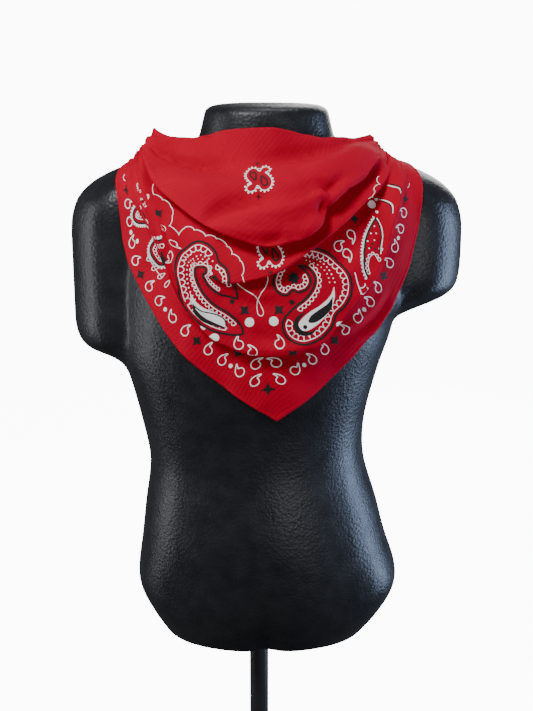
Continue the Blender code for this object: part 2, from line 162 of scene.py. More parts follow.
def merged_copy(node, name):
    """A copy of a CAD node as one merged skin of quads."""
    piece = linked(name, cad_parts[node].data.copy())
    bpy.context.view_layer.objects.active = piece
    piece.select_set(True)
    bpy.ops.object.mode_set(mode="EDIT")
    bpy.ops.mesh.select_all(action="SELECT")
    bpy.ops.mesh.remove_doubles(threshold=0.00002)
    bpy.ops.mesh.tris_convert_to_quads(face_threshold=0.7, shape_threshold=0.7)
    bpy.ops.mesh.normals_make_consistent(inside=False)
    bpy.ops.object.mode_set(mode="OBJECT")
    return piece


torso = merged_copy("form_torso", "torso")
rounding = torso.modifiers.new("Subdivision", "SUBSURF")
rounding.levels = rounding.render_levels = 2
bpy.ops.object.modifier_apply(modifier="Subdivision")
bpy.ops.object.shade_smooth()

PEBBLE = 0.0026  # across one grain of the cast skin, drawn a little coarse so that it shows
# Half metallic, with a shine that wanders: the eye sees dark iron, softly and unevenly lit.
cast, tree, shader = new_material("blackened_cast_iron", "#26272B", 0.42, 0.5)
place = add_node(tree, "TexCoord")
grain = add_node(tree, "TexVoronoi", {"feature": "SMOOTH_F1"}, {"Vector": place.outputs["Object"]},
                 Scale=1 / PEBBLE)
mottle = add_node(tree, "TexNoise", None, {"Vector": place.outputs["Object"]}, Scale=60.0, Detail=4.0)
shine = add_node(tree, "MapRange", None, {"Value": mottle.outputs["Fac"]}, To_Min=0.3, To_Max=0.52)
tree.links.new(shine.outputs["Result"], shader.inputs["Roughness"])
tone = add_node(tree, "ValToRGB", None, {"Fac": mottle.outputs["Fac"]})
tone.color_ramp.elements[0].color = linear("#1D1E22")
tone.color_ramp.elements[1].color = linear("#33353A")
tree.links.new(tone.outputs["Color"], shader.inputs["Base Color"])
relief = add_node(tree, "Bump", None, {"Height": grain.outputs["Distance"]}, Strength=0.6, Distance=0.0006)
tree.links.new(relief.outputs["Normal"], shader.inputs["Normal"])
dress(torso, cast, "black_cast", "form_torso")

# ---------------------------------------------------------------- The bandana's cloth
# One square of fine red cotton knit, 560 mm a side, folded corner to corner and wound round the
# neck. It is modelled as the outer layer of the fold: every section runs from the folded rim
# through the cowl's folds down to the hem.

MM = 0.001
SIDE = 560.0
HALF_DIAGONAL = SIDE / math.sqrt(2)
NECK_AXIS_X = 8.0
CLOTH_THICKNESS = 0.6
NAPE = 168.0
# The fold lines. Columns: station, angle, reach, height, tuck. Angles are in degrees round the neck
# from the front, negative to the wearer's right.
RIM = (
    (-168, -168, 75, 754, 0),
    (-150, -150, 78, 754, 0),
    (-120, -120, 89, 753, 0),
    (-105, -105, 97, 759, 0),
    (-90, -90, 107, 774, 0),
    (-75, -75, 92, 767, 0),
    (-60, -60, 81, 767, 0),
    (-45, -45, 77, 770, 0),
    (-30, -30, 76, 775, 0),
    (0, 0, 76, 778, 0),
    (30, 30, 76, 771, 0),
    (45, 45, 77, 768, 0),
    (60, 60, 79, 768, 0),
    (75, 75, 86, 766, 0),
    (90, 90, 99, 768, 0),
    (105, 105, 94, 757, 0),
    (120, 120, 88, 752, 0),
    (150, 150, 78, 754, 0),
    (168, 168, 75, 754, 0),
)
VALLEY = (
    (-168, -168, 80, 750, 0),
    (-150, -150, 84, 750, 0),
    (-120, -120, 95, 749, 0),
    (-105, -105, 103, 754, 0),
    (-90, -90, 110, 766, 0),
    (-75, -75, 97, 748, 0),
    (-60, -60, 90, 743, 0),
    (-45, -45, 86, 741, 0),
    (-15, -15, 84, 746, 0),
    (0, 0, 84, 750, 0),
    (30, 30, 84, 757, 0),
    (60, 60, 85, 763, 0),
    (75, 75, 90, 762, 0),
    (90, 90, 102, 763, 0),
    (105, 105, 100, 753, 0),
    (120, 120, 94, 749, 0),
    (150, 150, 84, 750, 0),
    (168, 168, 80, 750, 0),
)
COWL = (
    (-168, -168, 85, 746, 0),
    (-150, -150, 90, 746, 0),
    (-120, -120, 103, 746, 0),
    (-90, -90, 118, 757, 0),
    (-75, -75, 117, 749, 2),
    (-60, -60, 121, 739, 9),
    (-45, -45, 128, 721, 16),
    (-30, -30, 129, 703, 24),
    (-15, -15, 129, 689, 26),
    (0, 0, 130, 681, 26),
    (15, 15, 130, 687, 24),
    (30, 30, 120, 719, 20),
    (45, 45, 118, 731, 14),
    (60, 60, 114, 745, 6),
    (75, 75, 109, 753, 0),
    (90, 90, 106, 758, 0),
    (120, 120, 102, 746, 0),
    (150, 150, 90, 746, 0),
    (168, 168, 85, 746, 0),
)
SECOND = (
    (-168, -168, 88, 741, 0),
    (-150, -150, 93, 743, 0),
    (-120, -120, 107, 742, 0),
    (-90, -90, 121, 752, 0),
    (-75, -71, 124, 739, 0),
    (-60, -55, 129, 713, 0),
    (-45, -43, 130, 690, 0),
    (-30, -30, 128, 668, 1),
    (-15, -15, 127, 648, 5),
    (0, 0, 125, 654, 8),
    (15, 15, 124, 671, 8),
    (30, 30, 123, 692, 8),
    (45, 45, 124, 713, 7),
    (60, 60, 123, 729, 4),
    (75, 75, 117, 742, 0),
    (90, 90, 111, 752, 0),
    (120, 120, 107, 742, 0),
    (150, 150, 93, 743, 0),
    (168, 168, 88, 741, 0),
)
THIRD = (
    (-168, -168, 90, 736, 0),
    (-150, -150, 96, 737, 0),
    (-120, -120, 111, 737, 0),
    (-90, -90, 124, 747, 0),
    (-75, -65, 134, 723, 1),
    (-60, -48, 138, 689, 5),
    (-45, -40, 137, 654, 8),
    (-30, -32, 134, 622, 8),
    (-15, -18, 127, 592, 8),
    (0, 0, 123, 581, 8),
    (15, 20, 127, 588, 8),
    (30, 35, 135, 625, 8),
    (45, 48, 141, 660, 8),
    (60, 56, 141, 702, 5),
    (75, 70, 133, 733, 1),
    (90, 90, 119, 746, 0),
    (120, 120, 111, 737, 0),
    (150, 150, 96, 737, 0),
    (168, 168, 90, 736, 0),
)
HEM = (
    (-168, -167, 93, 729, 0),
    (-150, -149, 100, 730, 0),
    (-120, -118, 118, 731, 0),
    (-90, -89, 135, 741, 0),
    (-75, -71, 146, 719, 0),
    (-60, -66, 143, 666, 0),
    (-45, -52, 137, 622, 0),
    (-30, -38, 127, 580, 0),
    (-15, -19, 111, 546, 0),
    (0, 5, 109, 517, 0),
    (15, 27, 110, 545, 0),
    (30, 45, 122, 580, 0),
    (45, 59, 136, 618, 0),
    (60, 68, 147, 664, 0),
    (75, 71, 152, 713, 0),
    (90, 87, 137, 735, 0),
    (120, 118, 118, 730, 0),
    (150, 149, 100, 730, 0),
    (168, 167, 93, 729, 0),
)
CREST_SHARES = (0.3, 0.66)
CREST_SWELL = 9.0
CREST_FALL = 60.0
ROLL_SHARE = 0.55
TIER_SHARES = (0.33, 0.67)
FOLD_ROUNDING = 6.0
FOLD_DEPTH = 6.0
DEPTH_PER_TUCK = 0.2
FOLD_GAP = 5.0
FULL_TUCK = 7.0
FULL_FALL = 16.0
FLAT_STEP = 3.0
CLOTH_LEAST = 2.1  # from the form to the middle of the cloth, as in the solids


def smooth_curve(rows):
    """A monotone cubic through every column of a table, over its first column."""
    xs = [row[0] for row in rows]
    steps = [b - a for a, b in zip(xs, xs[1:])]
    columns = []
    for column in range(1, len(rows[0])):
        ys = [row[column] for row in rows]
        slopes = [(b - a) / step for a, b, step in zip(ys, ys[1:], steps)]
        tangents = [slopes[0]]
        for before, after, left, right in zip(slopes, slopes[1:], steps, steps[1:]):
            if before * after <= 0:
                tangents.append(0.0)
            else:
                wide, narrow = 2 * right + left, right + 2 * left
                tangents.append((wide + narrow) / (wide / before + narrow / after))
        tangents.append(slopes[-1])
        columns.append((ys, tangents))

    def value(x):
        x = min(max(x, xs[0]), xs[-1])
        k = 0
        while k < len(steps) - 1 and x > xs[k + 1]:
            k += 1
        t = (x - xs[k]) / steps[k]
        first, lead = 2 * t**3 - 3 * t**2 + 1, (t**3 - 2 * t**2 + t) * steps[k]
        second, trail = 3 * t**2 - 2 * t**3, (t**3 - t**2) * steps[k]
        return [first * ys[k] + lead * ts[k] + second * ys[k + 1] + trail * ts[k + 1]
                for ys, ts in columns]

    return value


fold_lines = {name: smooth_curve(rows) for name, rows in (
    ("rim", RIM), ("valley", VALLEY), ("cowl", COWL), ("second", SECOND), ("third", THIRD))}
hem_halves = (smooth_curve([row for row in HEM if row[0] <= 0]),
              smooth_curve([row for row in HEM if row[0] >= 0]))
skin = bmesh.new()
skin.from_mesh(torso.data)
form_skin = BVHTree.FromBMesh(skin)
skin.free()


def clear_of_form(point, clearance):
    """The point, in millimetres, moved off the form until it is at least clearance from it."""
    for _ in range(3):
        near, normal, _, _ = form_skin.find_nearest(point * MM)
        short = clearance - (point - near / MM).dot(normal)
        if short <= 0:
            break
        point = point + normal * short
    return point


def line_point(name, station):
    """A fold line's point and its tuck at a station."""
    curve = fold_lines[name] if name != "hem" else hem_halves[station > 0]
    angle, reach, height, tuck = curve(station)
    turn = math.radians(angle)
    return Vector((NECK_AXIS_X + reach * math.sin(turn), -reach * math.cos(turn), height)), tuck


def fold(name, station, before, after):
    """The points that carry the cloth down to a fold's edge, round it and up to its hidden root."""
    edge, tuck = line_point(name, station)
    along = (line_point(name, station + 1)[0] - line_point(name, station - 1)[0]).normalized()
    depth = FOLD_DEPTH + DEPTH_PER_TUCK * tuck
    share = min(tuck / FULL_TUCK, 1.0) * min((after - edge).length / FULL_FALL, 1.0)
    share = share * share * (3 - 2 * share)
    edge = clear_of_form(edge, CLOTH_LEAST + (depth + FOLD_GAP) * share)
    drop = (before - edge).normalized()
    back_up = (drop - along * drop.dot(along)).normalized()
    arrive = edge + drop.lerp(back_up, share / 2) * min(FOLD_ROUNDING, 0.3 * (before - edge).length)
    inward = along.cross(back_up)
    if inward.dot(Vector((NECK_AXIS_X - edge.x, -edge.y, 0))) < 0:
        inward = -inward
    leave = (after - edge).normalized() * min(FLAT_STEP, 0.12 * (after - edge).length)
    folded = (inward * (0.45 * depth) + back_up * (0.1 * tuck),
              inward * depth + back_up * (0.7 * tuck),
              inward * (depth + FOLD_GAP) + back_up * (0.6 * tuck))
    flat = (leave, leave * 2, leave * 3)
    turned = [edge + a * share + b * (1 - share) for a, b in zip(folded, flat)]
    return [arrive, edge, *turned]


def section(station):
    """The cloth's line at a station, from the rim down to the hem."""
    rim, _ = line_point("rim", station)
    valley, _ = line_point("valley", station)
    cowl, _ = line_point("cowl", station)
    second, _ = line_point("second", station)
    third, third_tuck = line_point("third", station)
    hem, _ = line_point("hem", station)
    fall = cowl - valley
    outward = fall.cross(Vector((-valley.y, valley.x - NECK_AXIS_X, 0))).normalized()
    if outward.z < 0:
        outward = -outward
    amount = CREST_SWELL * min(1.0, fall.length / CREST_FALL)
    crests = [valley + fall * share + outward * amount for share in CREST_SHARES]
    points = [rim, rim.lerp(valley, ROLL_SHARE), valley, *crests]
    points += fold("cowl", station, crests[-1], second)
    points += fold("second", station, points[-1], third)
    tier, room = points[-1], (FOLD_DEPTH + FOLD_GAP) * min(third_tuck / FULL_TUCK, 1)
    points += [clear_of_form(tier.lerp(third, share), CLOTH_LEAST + room * share) for share in TIER_SHARES]
    points += fold("third", station, points[-1], hem)
    points += [points[-1].lerp(hem, share) for share in TIER_SHARES] + [hem]
    return points


# The flat pattern: every point of the sections gets its place on the square. Across is measured
# along the diagonal fold from its middle, and down from the fold towards the corner in front.
NET_STEP = 4.0
FLAT_STATIONS = [-NAPE + NET_STEP * k for k in range(round(2 * NAPE / NET_STEP) + 1)]
# Where a section's hidden stretches begin, with their fold line and the cloth tucked away per mm of tuck
HIDDEN = {6: ("cowl", 57 / 26), 11: ("second", 21 / 8), 18: ("third", 21 / 8)}
HIDDEN_WEIGHT = 0.25
LOOSE_FROM, LOOSE_OVER = 80.0, 20.0  # degrees; from here back the net gives way to the gathers
RELAX_ROUNDS = 4000
OVER_RELAXATION = 1.5


def flat_net(sections):
    """Lays the sections flat: a net of springs with the rim on the fold and the hem on the two sides
    of the square's corner. Hidden layers give way before the layers that show."""
    solid = np.array([[tuple(p) for p in row] for row in sections])
    count, width = solid.shape[:2]
    middle = count // 2
    ends, rests, weights = [], [], []

    def spring(i, j, k, l, weight, rest=0.0):
        ends.append((i * width + j, k * width + l))
        rests.append(max(rest, float(np.linalg.norm(solid[i, j] - solid[k, l]))))
        weights.append(weight)

    hidden_rows = {first + step: line for first, line in HIDDEN.items() for step in range(3)}
    for i, station in enumerate(FLAT_STATIONS):
        gathered = min(max((abs(station) - LOOSE_FROM) / LOOSE_OVER, 0.0), 1.0)
        for j in range(width - 1):
            weight, rest = 1.0, 0.0
            if j in hidden_rows:
                name, per_tuck = hidden_rows[j]
                weight, rest = HIDDEN_WEIGHT, line_point(name, station)[1] * per_tuck / 3
            spring(i, j, i, j + 1, weight * (1 - gathered) + 0.02 * gathered, rest)
        if i == count - 1:
            break
        for j in range(width):
            spring(i, j, i + 1, j, 0.05 if j - 1 in hidden_rows else 1.0)
            if j < width - 1 and j not in hidden_rows:
                shear = 0.5 * (1 - gathered) + 0.01 * gathered
                spring(i, j, i + 1, j + 1, shear)
                spring(i, j + 1, i + 1, j, shear)
    ends, rests, weights = np.array(ends), np.array(rests), np.array(weights)

    def lengths_from_middle(column):
        steps = np.linalg.norm(np.diff(solid[:, column], axis=0), axis=1)
        total = np.concatenate([[0], np.cumsum(steps)])
        return total - total[middle]

    rim, hem = lengths_from_middle(0), lengths_from_middle(width - 1)
    flat = np.zeros((count, width, 2))
    for i in range(count):
        start = np.array([rim[i], 0.0])
        end = np.array([hem[i] / math.sqrt(2), HALF_DIAGONAL - abs(hem[i]) / math.sqrt(2)])
        flat[i] = start + (end - start) * np.linspace(0, 1, width)[:, None]
    points = flat.reshape(-1, 2)
    pull = np.bincount(ends.ravel(), np.repeat(weights, 2), len(points))[:, None]
    for _ in range(RELAX_ROUNDS):
        gap = points[ends[:, 1]] - points[ends[:, 0]]
        length = np.linalg.norm(gap, axis=1) + 1e-9
        move = (0.5 * weights * (length - rests) / length)[:, None] * gap
        moved = [np.bincount(ends[:, 0], move[:, axis], len(points))
                 - np.bincount(ends[:, 1], move[:, axis], len(points)) for axis in (0, 1)]
        points = points + OVER_RELAXATION * np.stack(moved, 1) / pull
        flat = points.reshape(count, width, 2)
        flat[:, 0, 1] = 0
        for side, part in ((-1, slice(0, middle)), (1, slice(middle + 1, count))):
            along = (flat[part, -1, 0] * side - flat[part, -1, 1] + HALF_DIAGONAL) / 2
            flat[part, -1, 0], flat[part, -1, 1] = side * along, HALF_DIAGONAL - along
        flat[middle, -1] = 0, HALF_DIAGONAL
    return flat


FINE_STEP = 1.2
fine_stations = [-NAPE + FINE_STEP * k for k in range(round(2 * NAPE / FINE_STEP) + 1)]


def blend(before, here, after, beyond, t):
    """Catmull-Rom: the share t of the way from here to after, smooth with both neighbours."""
    return 0.5 * (2 * here + (after - before) * t
                  + (2 * before - 5 * here + 4 * after - beyond) * t**2
                  + (3 * here - before - 3 * after + beyond) * t**3)


def rounded(line):
    """The same line, an array of rows, with each corner cut once and its ends kept."""
    early, late = line[:-1] * 0.75 + line[1:] * 0.25, line[:-1] * 0.25 + line[1:] * 0.75
    between = np.stack([early, late], 1).reshape(-1, line.shape[1])
    return np.concatenate([line[:1], between, line[-1:]])


def smooth_between(rows, values, wanted):
    """Catmull-Rom through evenly spaced rows of values."""
    step = rows[1] - rows[0]
    made = []
    for x in wanted:
        k = min(max(int((x - rows[0]) / step), 0), len(rows) - 2)
        t = (x - rows[k]) / step
        before, beyond = values[max(k - 1, 0)], values[min(k + 2, len(rows) - 1)]
        made.append(blend(before, values[k], values[k + 1], beyond, t))
    return made


flat_sections = flat_net([section(station) for station in FLAT_STATIONS])
fine_flat = smooth_between(FLAT_STATIONS, flat_sections, fine_stations)
cloth_grid, cloth_flat = [], []
for station, flat in zip(fine_stations, fine_flat):
    line = np.array([tuple(p) for p in section(station)])
    both = rounded(rounded(np.concatenate([line, flat], 1)))
    cloth_grid.append(both[:, :3])
    cloth_flat.append(both[:, 3:])
cloth_flat = np.array(cloth_flat)

# Creases are laid into the cloth: soft ridges and valleys that run from the shoulders into the cowl
# and along the tiers. Columns: from, through, to (across, down), half width, height;
# a negative height is a valley.
CREASES = (
    ((-158, 24), (-110, 28), (-30, 34), 7, -6.0),
    ((-6, 32), (45, 20), (108, 11), 10, -5.5),
    ((-47, 97), (-25, 80), (14, 73), 7, -8.5),
    ((-22, 92), (22, 76), (88, 57), 7, 6.5),
    ((2, 80), (35, 66), (66, 50), 5, -6.5),
    ((46, 84), (60, 72), (88, 58), 5, -7.0),
    ((36, 100), (66, 84), (100, 64), 6, 4.5),
    ((45, 84), (36, 93), (24, 104), 7, 3.5),
    ((-36, 97), (-5, 101), (24, 96), 8, 5.0),
    ((4, 109), (14, 108), (24, 101), 5, -3.5),
    ((-90, 60), (-55, 62), (-24, 54), 14, 4.0),
    ((-32, 174), (2, 176), (35, 163), 7, -2.5),
    ((-48, 229), (-14, 242), (20, 240), 5, -4.0),
    ((-48, 220), (-20, 231), (8, 233), 6, 2.5),
    ((-82, 226), (-52, 250), (-10, 271), 5, -3.5),
    ((-76, 234), (-52, 257), (-20, 275), 4, 2.0),
    ((-22, 271), (5, 274), (34, 267), 4, -3.0),
    ((-29, 279), (5, 283), (35, 277), 4, 2.2),
    ((58, 291), (84, 281), (116, 255), 5, 3.8),
    ((62, 300), (90, 290), (120, 264), 4, -3.2),
    ((70, 307), (96, 297), (124, 272), 5, 2.6),
    ((-108, 148), (-98, 205), (-58, 262), 4, -4.5),
    ((-99, 155), (-89, 206), (-62, 246), 6, 3.5),
    ((-150, 60), (-120, 66), (-85, 84), 10, 3.0),
    ((60, 224), (84, 206), (112, 176), 7, 2.6),
    ((50, 210), (80, 191), (110, 164), 6, -2.6),
)
CREASE_STEPS = 24
CREASE_SHARPNESS = 1.6
WRINKLE_SIZE, WRINKLE_HEIGHT = 26.0, 1.1
FINE_WRINKLE_HEIGHT = 0.35
PLEATS = 8.0
PLEAT_DEPTH = 3.2
PLEAT_STATIONS = (74.0, 108.0)  # the pleats of the gathered ends begin and are full here


def swell(flat):
    """How far the creases and small wrinkles lift the cloth at each point of the flat square."""
    lift = np.zeros(flat.shape[:2])
    for start, middle, end, half_width, height in CREASES:
        start, middle, end = (np.array(p, float) for p in (start, middle, end))
        shares = np.linspace(0, 1, CREASE_STEPS + 1)[:, None]
        path = (1 - shares) ** 2 * start + shares**2 * end \
            + 2 * shares * (1 - shares) * (2 * middle - (start + end) / 2)
        gaps = np.linalg.norm(flat[:, :, None] - path, axis=3)
        nearest = gaps.argmin(axis=2)
        taper = np.sin(np.pi * np.clip(0.04 + 0.92 * nearest / CREASE_STEPS, 0, 1)) ** 0.7
        lift += height * taper * np.exp(-(gaps.min(axis=2) / half_width) ** 2 * CREASE_SHARPNESS)
    for i, row in enumerate(flat):
        for j, (across, down) in enumerate(row):
            place = Vector((across, down * 1.6, 0)) / WRINKLE_SIZE
            lift[i, j] += WRINKLE_HEIGHT * noise.noise(place) + FINE_WRINKLE_HEIGHT * noise.noise(place * 2.7)
    return lift


def pleats(stations, columns):
    """The pleats of the gathered ends, which run round the neck side by side."""
    first, full = PLEAT_STATIONS
    share = np.clip((np.abs(np.array(stations)) - first) / (full - first), 0, 1)
    down = np.linspace(0, 1, columns)
    wander = 0.25 * np.sin(np.radians(stations) * 3.0)[:, None]
    edges = np.sin(np.pi * down) ** 0.5
    return PLEAT_DEPTH * share[:, None] * edges * (0.5 + np.sin(2 * np.pi * PLEATS * (down + 0.1 * wander)))


def grid_normals(grid):
    """Outward normals at every point of a grid."""
    along = np.gradient(grid, axis=0)
    across = np.gradient(grid, axis=1)
    normal = np.cross(across, along)
    return normal / (np.linalg.norm(normal, axis=2, keepdims=True) + 1e-12)


cloth_grid = np.array(cloth_grid)
lift = swell(cloth_flat) + pleats(fine_stations, cloth_grid.shape[1])
cloth_grid = cloth_grid + grid_normals(cloth_grid) * lift[:, :, None]

# At the nape each end is drawn together into the knot.
GATHER_STATION = 138.0
GATHERED_HEIGHT = 0.5  # of the wrap's own height
KNOT_ENTRY = (13.0, 94.0, 741.0)  # from the neck's axis, the middle of the gathered end inside the knot
for row, station in zip(cloth_grid, fine_stations):
    share = min(max((abs(station) - GATHER_STATION) / (NAPE - GATHER_STATION), 0.0), 1.0)
    share = share * share * (3 - 2 * share)
    entry = np.array((NECK_AXIS_X + math.copysign(KNOT_ENTRY[0], station), *KNOT_ENTRY[1:]))
    middle = row.mean(axis=0)
    pulled = middle * (1 - share**2) + entry * share**2
    row[:] = pulled + (row - middle) * (1 - (1 - GATHERED_HEIGHT) * share)
cloth_grid = MM * np.array([[tuple(clear_of_form(Vector(p), CLOTH_LEAST)) for p in row]
                            for row in cloth_grid])


def grid_mesh(name, grid, flat):
    """A sheet through a grid of points, with its place on the flat square as its UV map."""
    rows, columns = grid.shape[:2]
    faces = [(i * columns + j, i * columns + j + 1, (i + 1) * columns + j + 1, (i + 1) * columns + j)
             for i in range(rows - 1) for j in range(columns - 1)]
    mesh = bpy.data.meshes.new(name)
    mesh.from_pydata(grid.reshape(-1, 3).tolist(), [], faces)
    piece = linked(name, mesh)
    uv = mesh.uv_layers.new(name="flat_pattern")
    corners = np.array([v for face in faces for v in face])
    uv.data.foreach_set("uv", (flat.reshape(-1, 2)[corners] * MM).astype(np.float32).ravel())
    mesh.shade_smooth()
    return piece


def thicken(piece, thickness):
    """Gives a sheet its thickness, inward from the face that shows."""
    wall = piece.modifiers.new("Solidify", "SOLIDIFY")
    wall.thickness = thickness
    wall.offset = -1
    bpy.context.view_layer.objects.active = piece
    bpy.ops.object.select_all(action="DESELECT")
    piece.select_set(True)
    bpy.ops.object.modifier_apply(modifier="Solidify")


drape = grid_mesh("bandana", cloth_grid, cloth_flat)
thicken(drape, CLOTH_THICKNESS * MM)

WALE = 0.0015  # between the knit's ribs; drawn twice as coarse as they are, so that they show
WAVE_TURN = 6.283  # a wave texture's stripes are this much finer than its scale


def add_ribs(tree, shader, strength, height):
    """The knit's slanting ribs as relief; gives back the node of the cloth's places on the square."""
    lay = add_node(tree, "UVMap", {"uv_map": "flat_pattern"})
    ribs = add_node(tree, "TexWave", {"bands_direction": "DIAGONAL"}, {"Vector": lay.outputs["UV"]},
                    Scale=1 / WALE / WAVE_TURN, Distortion=1.5, Detail=2.0)
    relief = add_node(tree, "Bump", None, {"Height": ribs.outputs["Fac"]}, Strength=strength, Distance=height)
    tree.links.new(relief.outputs["Normal"], shader.inputs["Normal"])
    return lay


# Rough, with the least sheen: the eye sees a matt knit whose red shifts a little from patch to patch.
cotton, tree, shader = new_material("red_knit_cotton", "#B20026", 0.8)
shader.inputs["Specular IOR Level"].default_value = 0.1
shader.inputs["Sheen Weight"].default_value = 0.06
shader.inputs["Sheen Roughness"].default_value = 0.4
shader.inputs["Sheen Tint"].default_value = linear("#FF2848")
lay = add_ribs(tree, shader, 0.5, 0.00022)
patch = add_node(tree, "TexNoise", None, {"Vector": lay.outputs["UV"]}, Scale=22.0, Detail=5.0)
tint = add_node(tree, "ValToRGB", None, {"Fac": patch.outputs["Fac"]})
tint.color_ramp.elements[0].color = linear("#A60022")
tint.color_ramp.elements[1].color = linear("#C2002B")
tree.links.new(tint.outputs["Color"], shader.inputs["Base Color"])
dress(drape, cotton, "red_cotton", "front_drape", "wrap_right", "wrap_left")

# ---------------------------------------------------------------- Hem and folded rim
# The square's raw edge is turned twice into a narrow soft hem. The rim round the neck is the
# diagonal fold itself, a soft double edge.

HEM_WIDTH = 4.2
HEM_HALF_THICKNESS = 0.5
HEM_OVERHANG = 0.4  # past the sheet's edge
EDGE_SIDES = 10


def edge_roll(name, grid):
    """A flattened roll along a sheet's last edge: a closed tube that laps over its last millimetres."""
    rings = []
    for here, within, out in zip(grid[:, -1], grid[:, -4], grid_normals(grid)[:, -2]):
        into = (within - here) / np.linalg.norm(within - here)
        centre = here + into * (HEM_WIDTH / 2 - HEM_OVERHANG) * MM - out * (CLOTH_THICKNESS / 2) * MM
        turns = [2 * math.pi * k / EDGE_SIDES for k in range(EDGE_SIDES)]
        rings.append([centre + (into * math.cos(t) * HEM_WIDTH / 2
                                + out * math.sin(t) * HEM_HALF_THICKNESS) * MM for t in turns])
    points = [tuple(p) for ring in rings for p in ring]
    faces = []
    for i in range(len(rings) - 1):
        for k in range(EDGE_SIDES):
            a, b = i * EDGE_SIDES + k, i * EDGE_SIDES + (k + 1) % EDGE_SIDES
            faces.append((a, b, b + EDGE_SIDES, a + EDGE_SIDES))
    faces.append(tuple(range(EDGE_SIDES)))
    faces.append(tuple(range((len(rings) - 1) * EDGE_SIDES, len(rings) * EDGE_SIDES)))
    mesh = bpy.data.meshes.new(name)
    mesh.from_pydata(points, [], faces)
    shape = bmesh.new()
    shape.from_mesh(mesh)
    bmesh.ops.recalc_face_normals(shape, faces=shape.faces)
    shape.to_mesh(mesh)
    shape.free()
    mesh.shade_smooth()
    piece = linked(name, mesh)
    dress(piece, cotton, "red_cotton")
    return piece


hem = edge_roll("bandana_hem", cloth_grid)

# The rim is the fold itself: the cloth turns over it into the inner layer, which goes down inside.
TURN_RADIUS = 0.75
TURN_STEPS = 8
INNER_GAP = 1.1
INNER_THICKNESS = 0.4
INNER_COLUMNS = 14


def turned_rim(grid, normals):
    """The inner layer from under the cowl up to the rim and over it to the outer layer."""
    rows = []
    for line, outs in zip(grid, normals):
        up = (line[0] - line[2]) / np.linalg.norm(line[0] - line[2])
        out = outs[1]
        centre = line[0] - out * (INNER_GAP / 2) * MM
        roll = [centre + (out * math.cos(t) * INNER_GAP / 2 + up * math.sin(t) * TURN_RADIUS) * MM
                for t in np.linspace(math.pi, 0, TURN_STEPS + 1)]
        inner = [line[k] - outs[max(k, 1)] * INNER_GAP * MM for k in range(INNER_COLUMNS, 0, -1)]
        rows.append(inner + roll)
    return np.array(rows)


rim_grid = turned_rim(cloth_grid, grid_normals(cloth_grid))
rim = grid_mesh("bandana_inner_rim", rim_grid, np.zeros(rim_grid.shape[:2] + (2,)))
thicken(rim, INNER_THICKNESS * MM)
dress(rim, cotton, "red_cotton")

# ---------------------------------------------------------------- Knot and tails
# The two gathered ends cross at the nape and are tied once over: a band of pleats passes over a
# rounded lump of cloth, and the two corners hang free below it.

KNOT_HALF = (19.8, 13.0, 16.0)
KNOT_CENTRE = (NECK_AXIS_X, 95.0, 741.0)
ROLL_HALF = (19.8, 10.4, 11.6)  # the lump of gathered cloth under the band
ROLL_PLEATS = 9
ROLL_PLEAT_DEPTH, ROLL_DENT_DEPTH = 0.07, 0.04  # of the roll's own radius
ROLL_STEPS, ROLL_SIDES = 60, 96
BAND_HALF_WIDTH = 9.5
BAND_THICKNESS = 2.4
BAND_SLANT = 4.0
BAND_PLEATS = 4
BAND_PLEAT_DEPTH = 0.55
BAND_UNDERSIDE = 1.5
BAND_NARROWING = 0.22  # where the band goes round the roll's top and bottom
BAND_STEPS, BAND_SIDES = 120, 72
TAIL_LENGTH = 98.0
TAIL_ROOT = (5.0, 92.0, 730.0)
TAIL_SPLAY = 37.0
# Columns: share of the length, half width, lift off the form
TAIL = (
    (0.0, 4, 6),
    (0.12, 6, 8),
    (0.3, 12, 7),
    (0.5, 18.5, 5),
    (0.75, 20, 3),
    (1.0, 1, 2),
)
TAIL_WAVE = 0.14
TAIL_SLANT = 0.3
TAIL_LEAST = 1.4
TAIL_PLEAT_DEPTH = 1.5
TAIL_ROWS = 84
TAIL_STRIPS = 60


def ring_mesh(rings, closed):
    """A mesh through rings of points; the last ring meets the first when it is closed."""
    made = bmesh.new()
    rows = [[made.verts.new(p) for p in ring] for ring in rings]
    for first, second in zip(rows, rows[1:] + ([rows[0]] if closed else [])):
        for k in range(len(first)):
            made.faces.new((first[k - 1], first[k], second[k], second[k - 1]))
    if not closed:
        made.faces.new(rows[0])
        made.faces.new(rows[-1])
    return made


def knot_place(across, ahead, up):
    """A point of the knot, from its centre in millimetres."""
    return [(c + d) * MM for c, d in zip(KNOT_CENTRE, (across, ahead, up))]


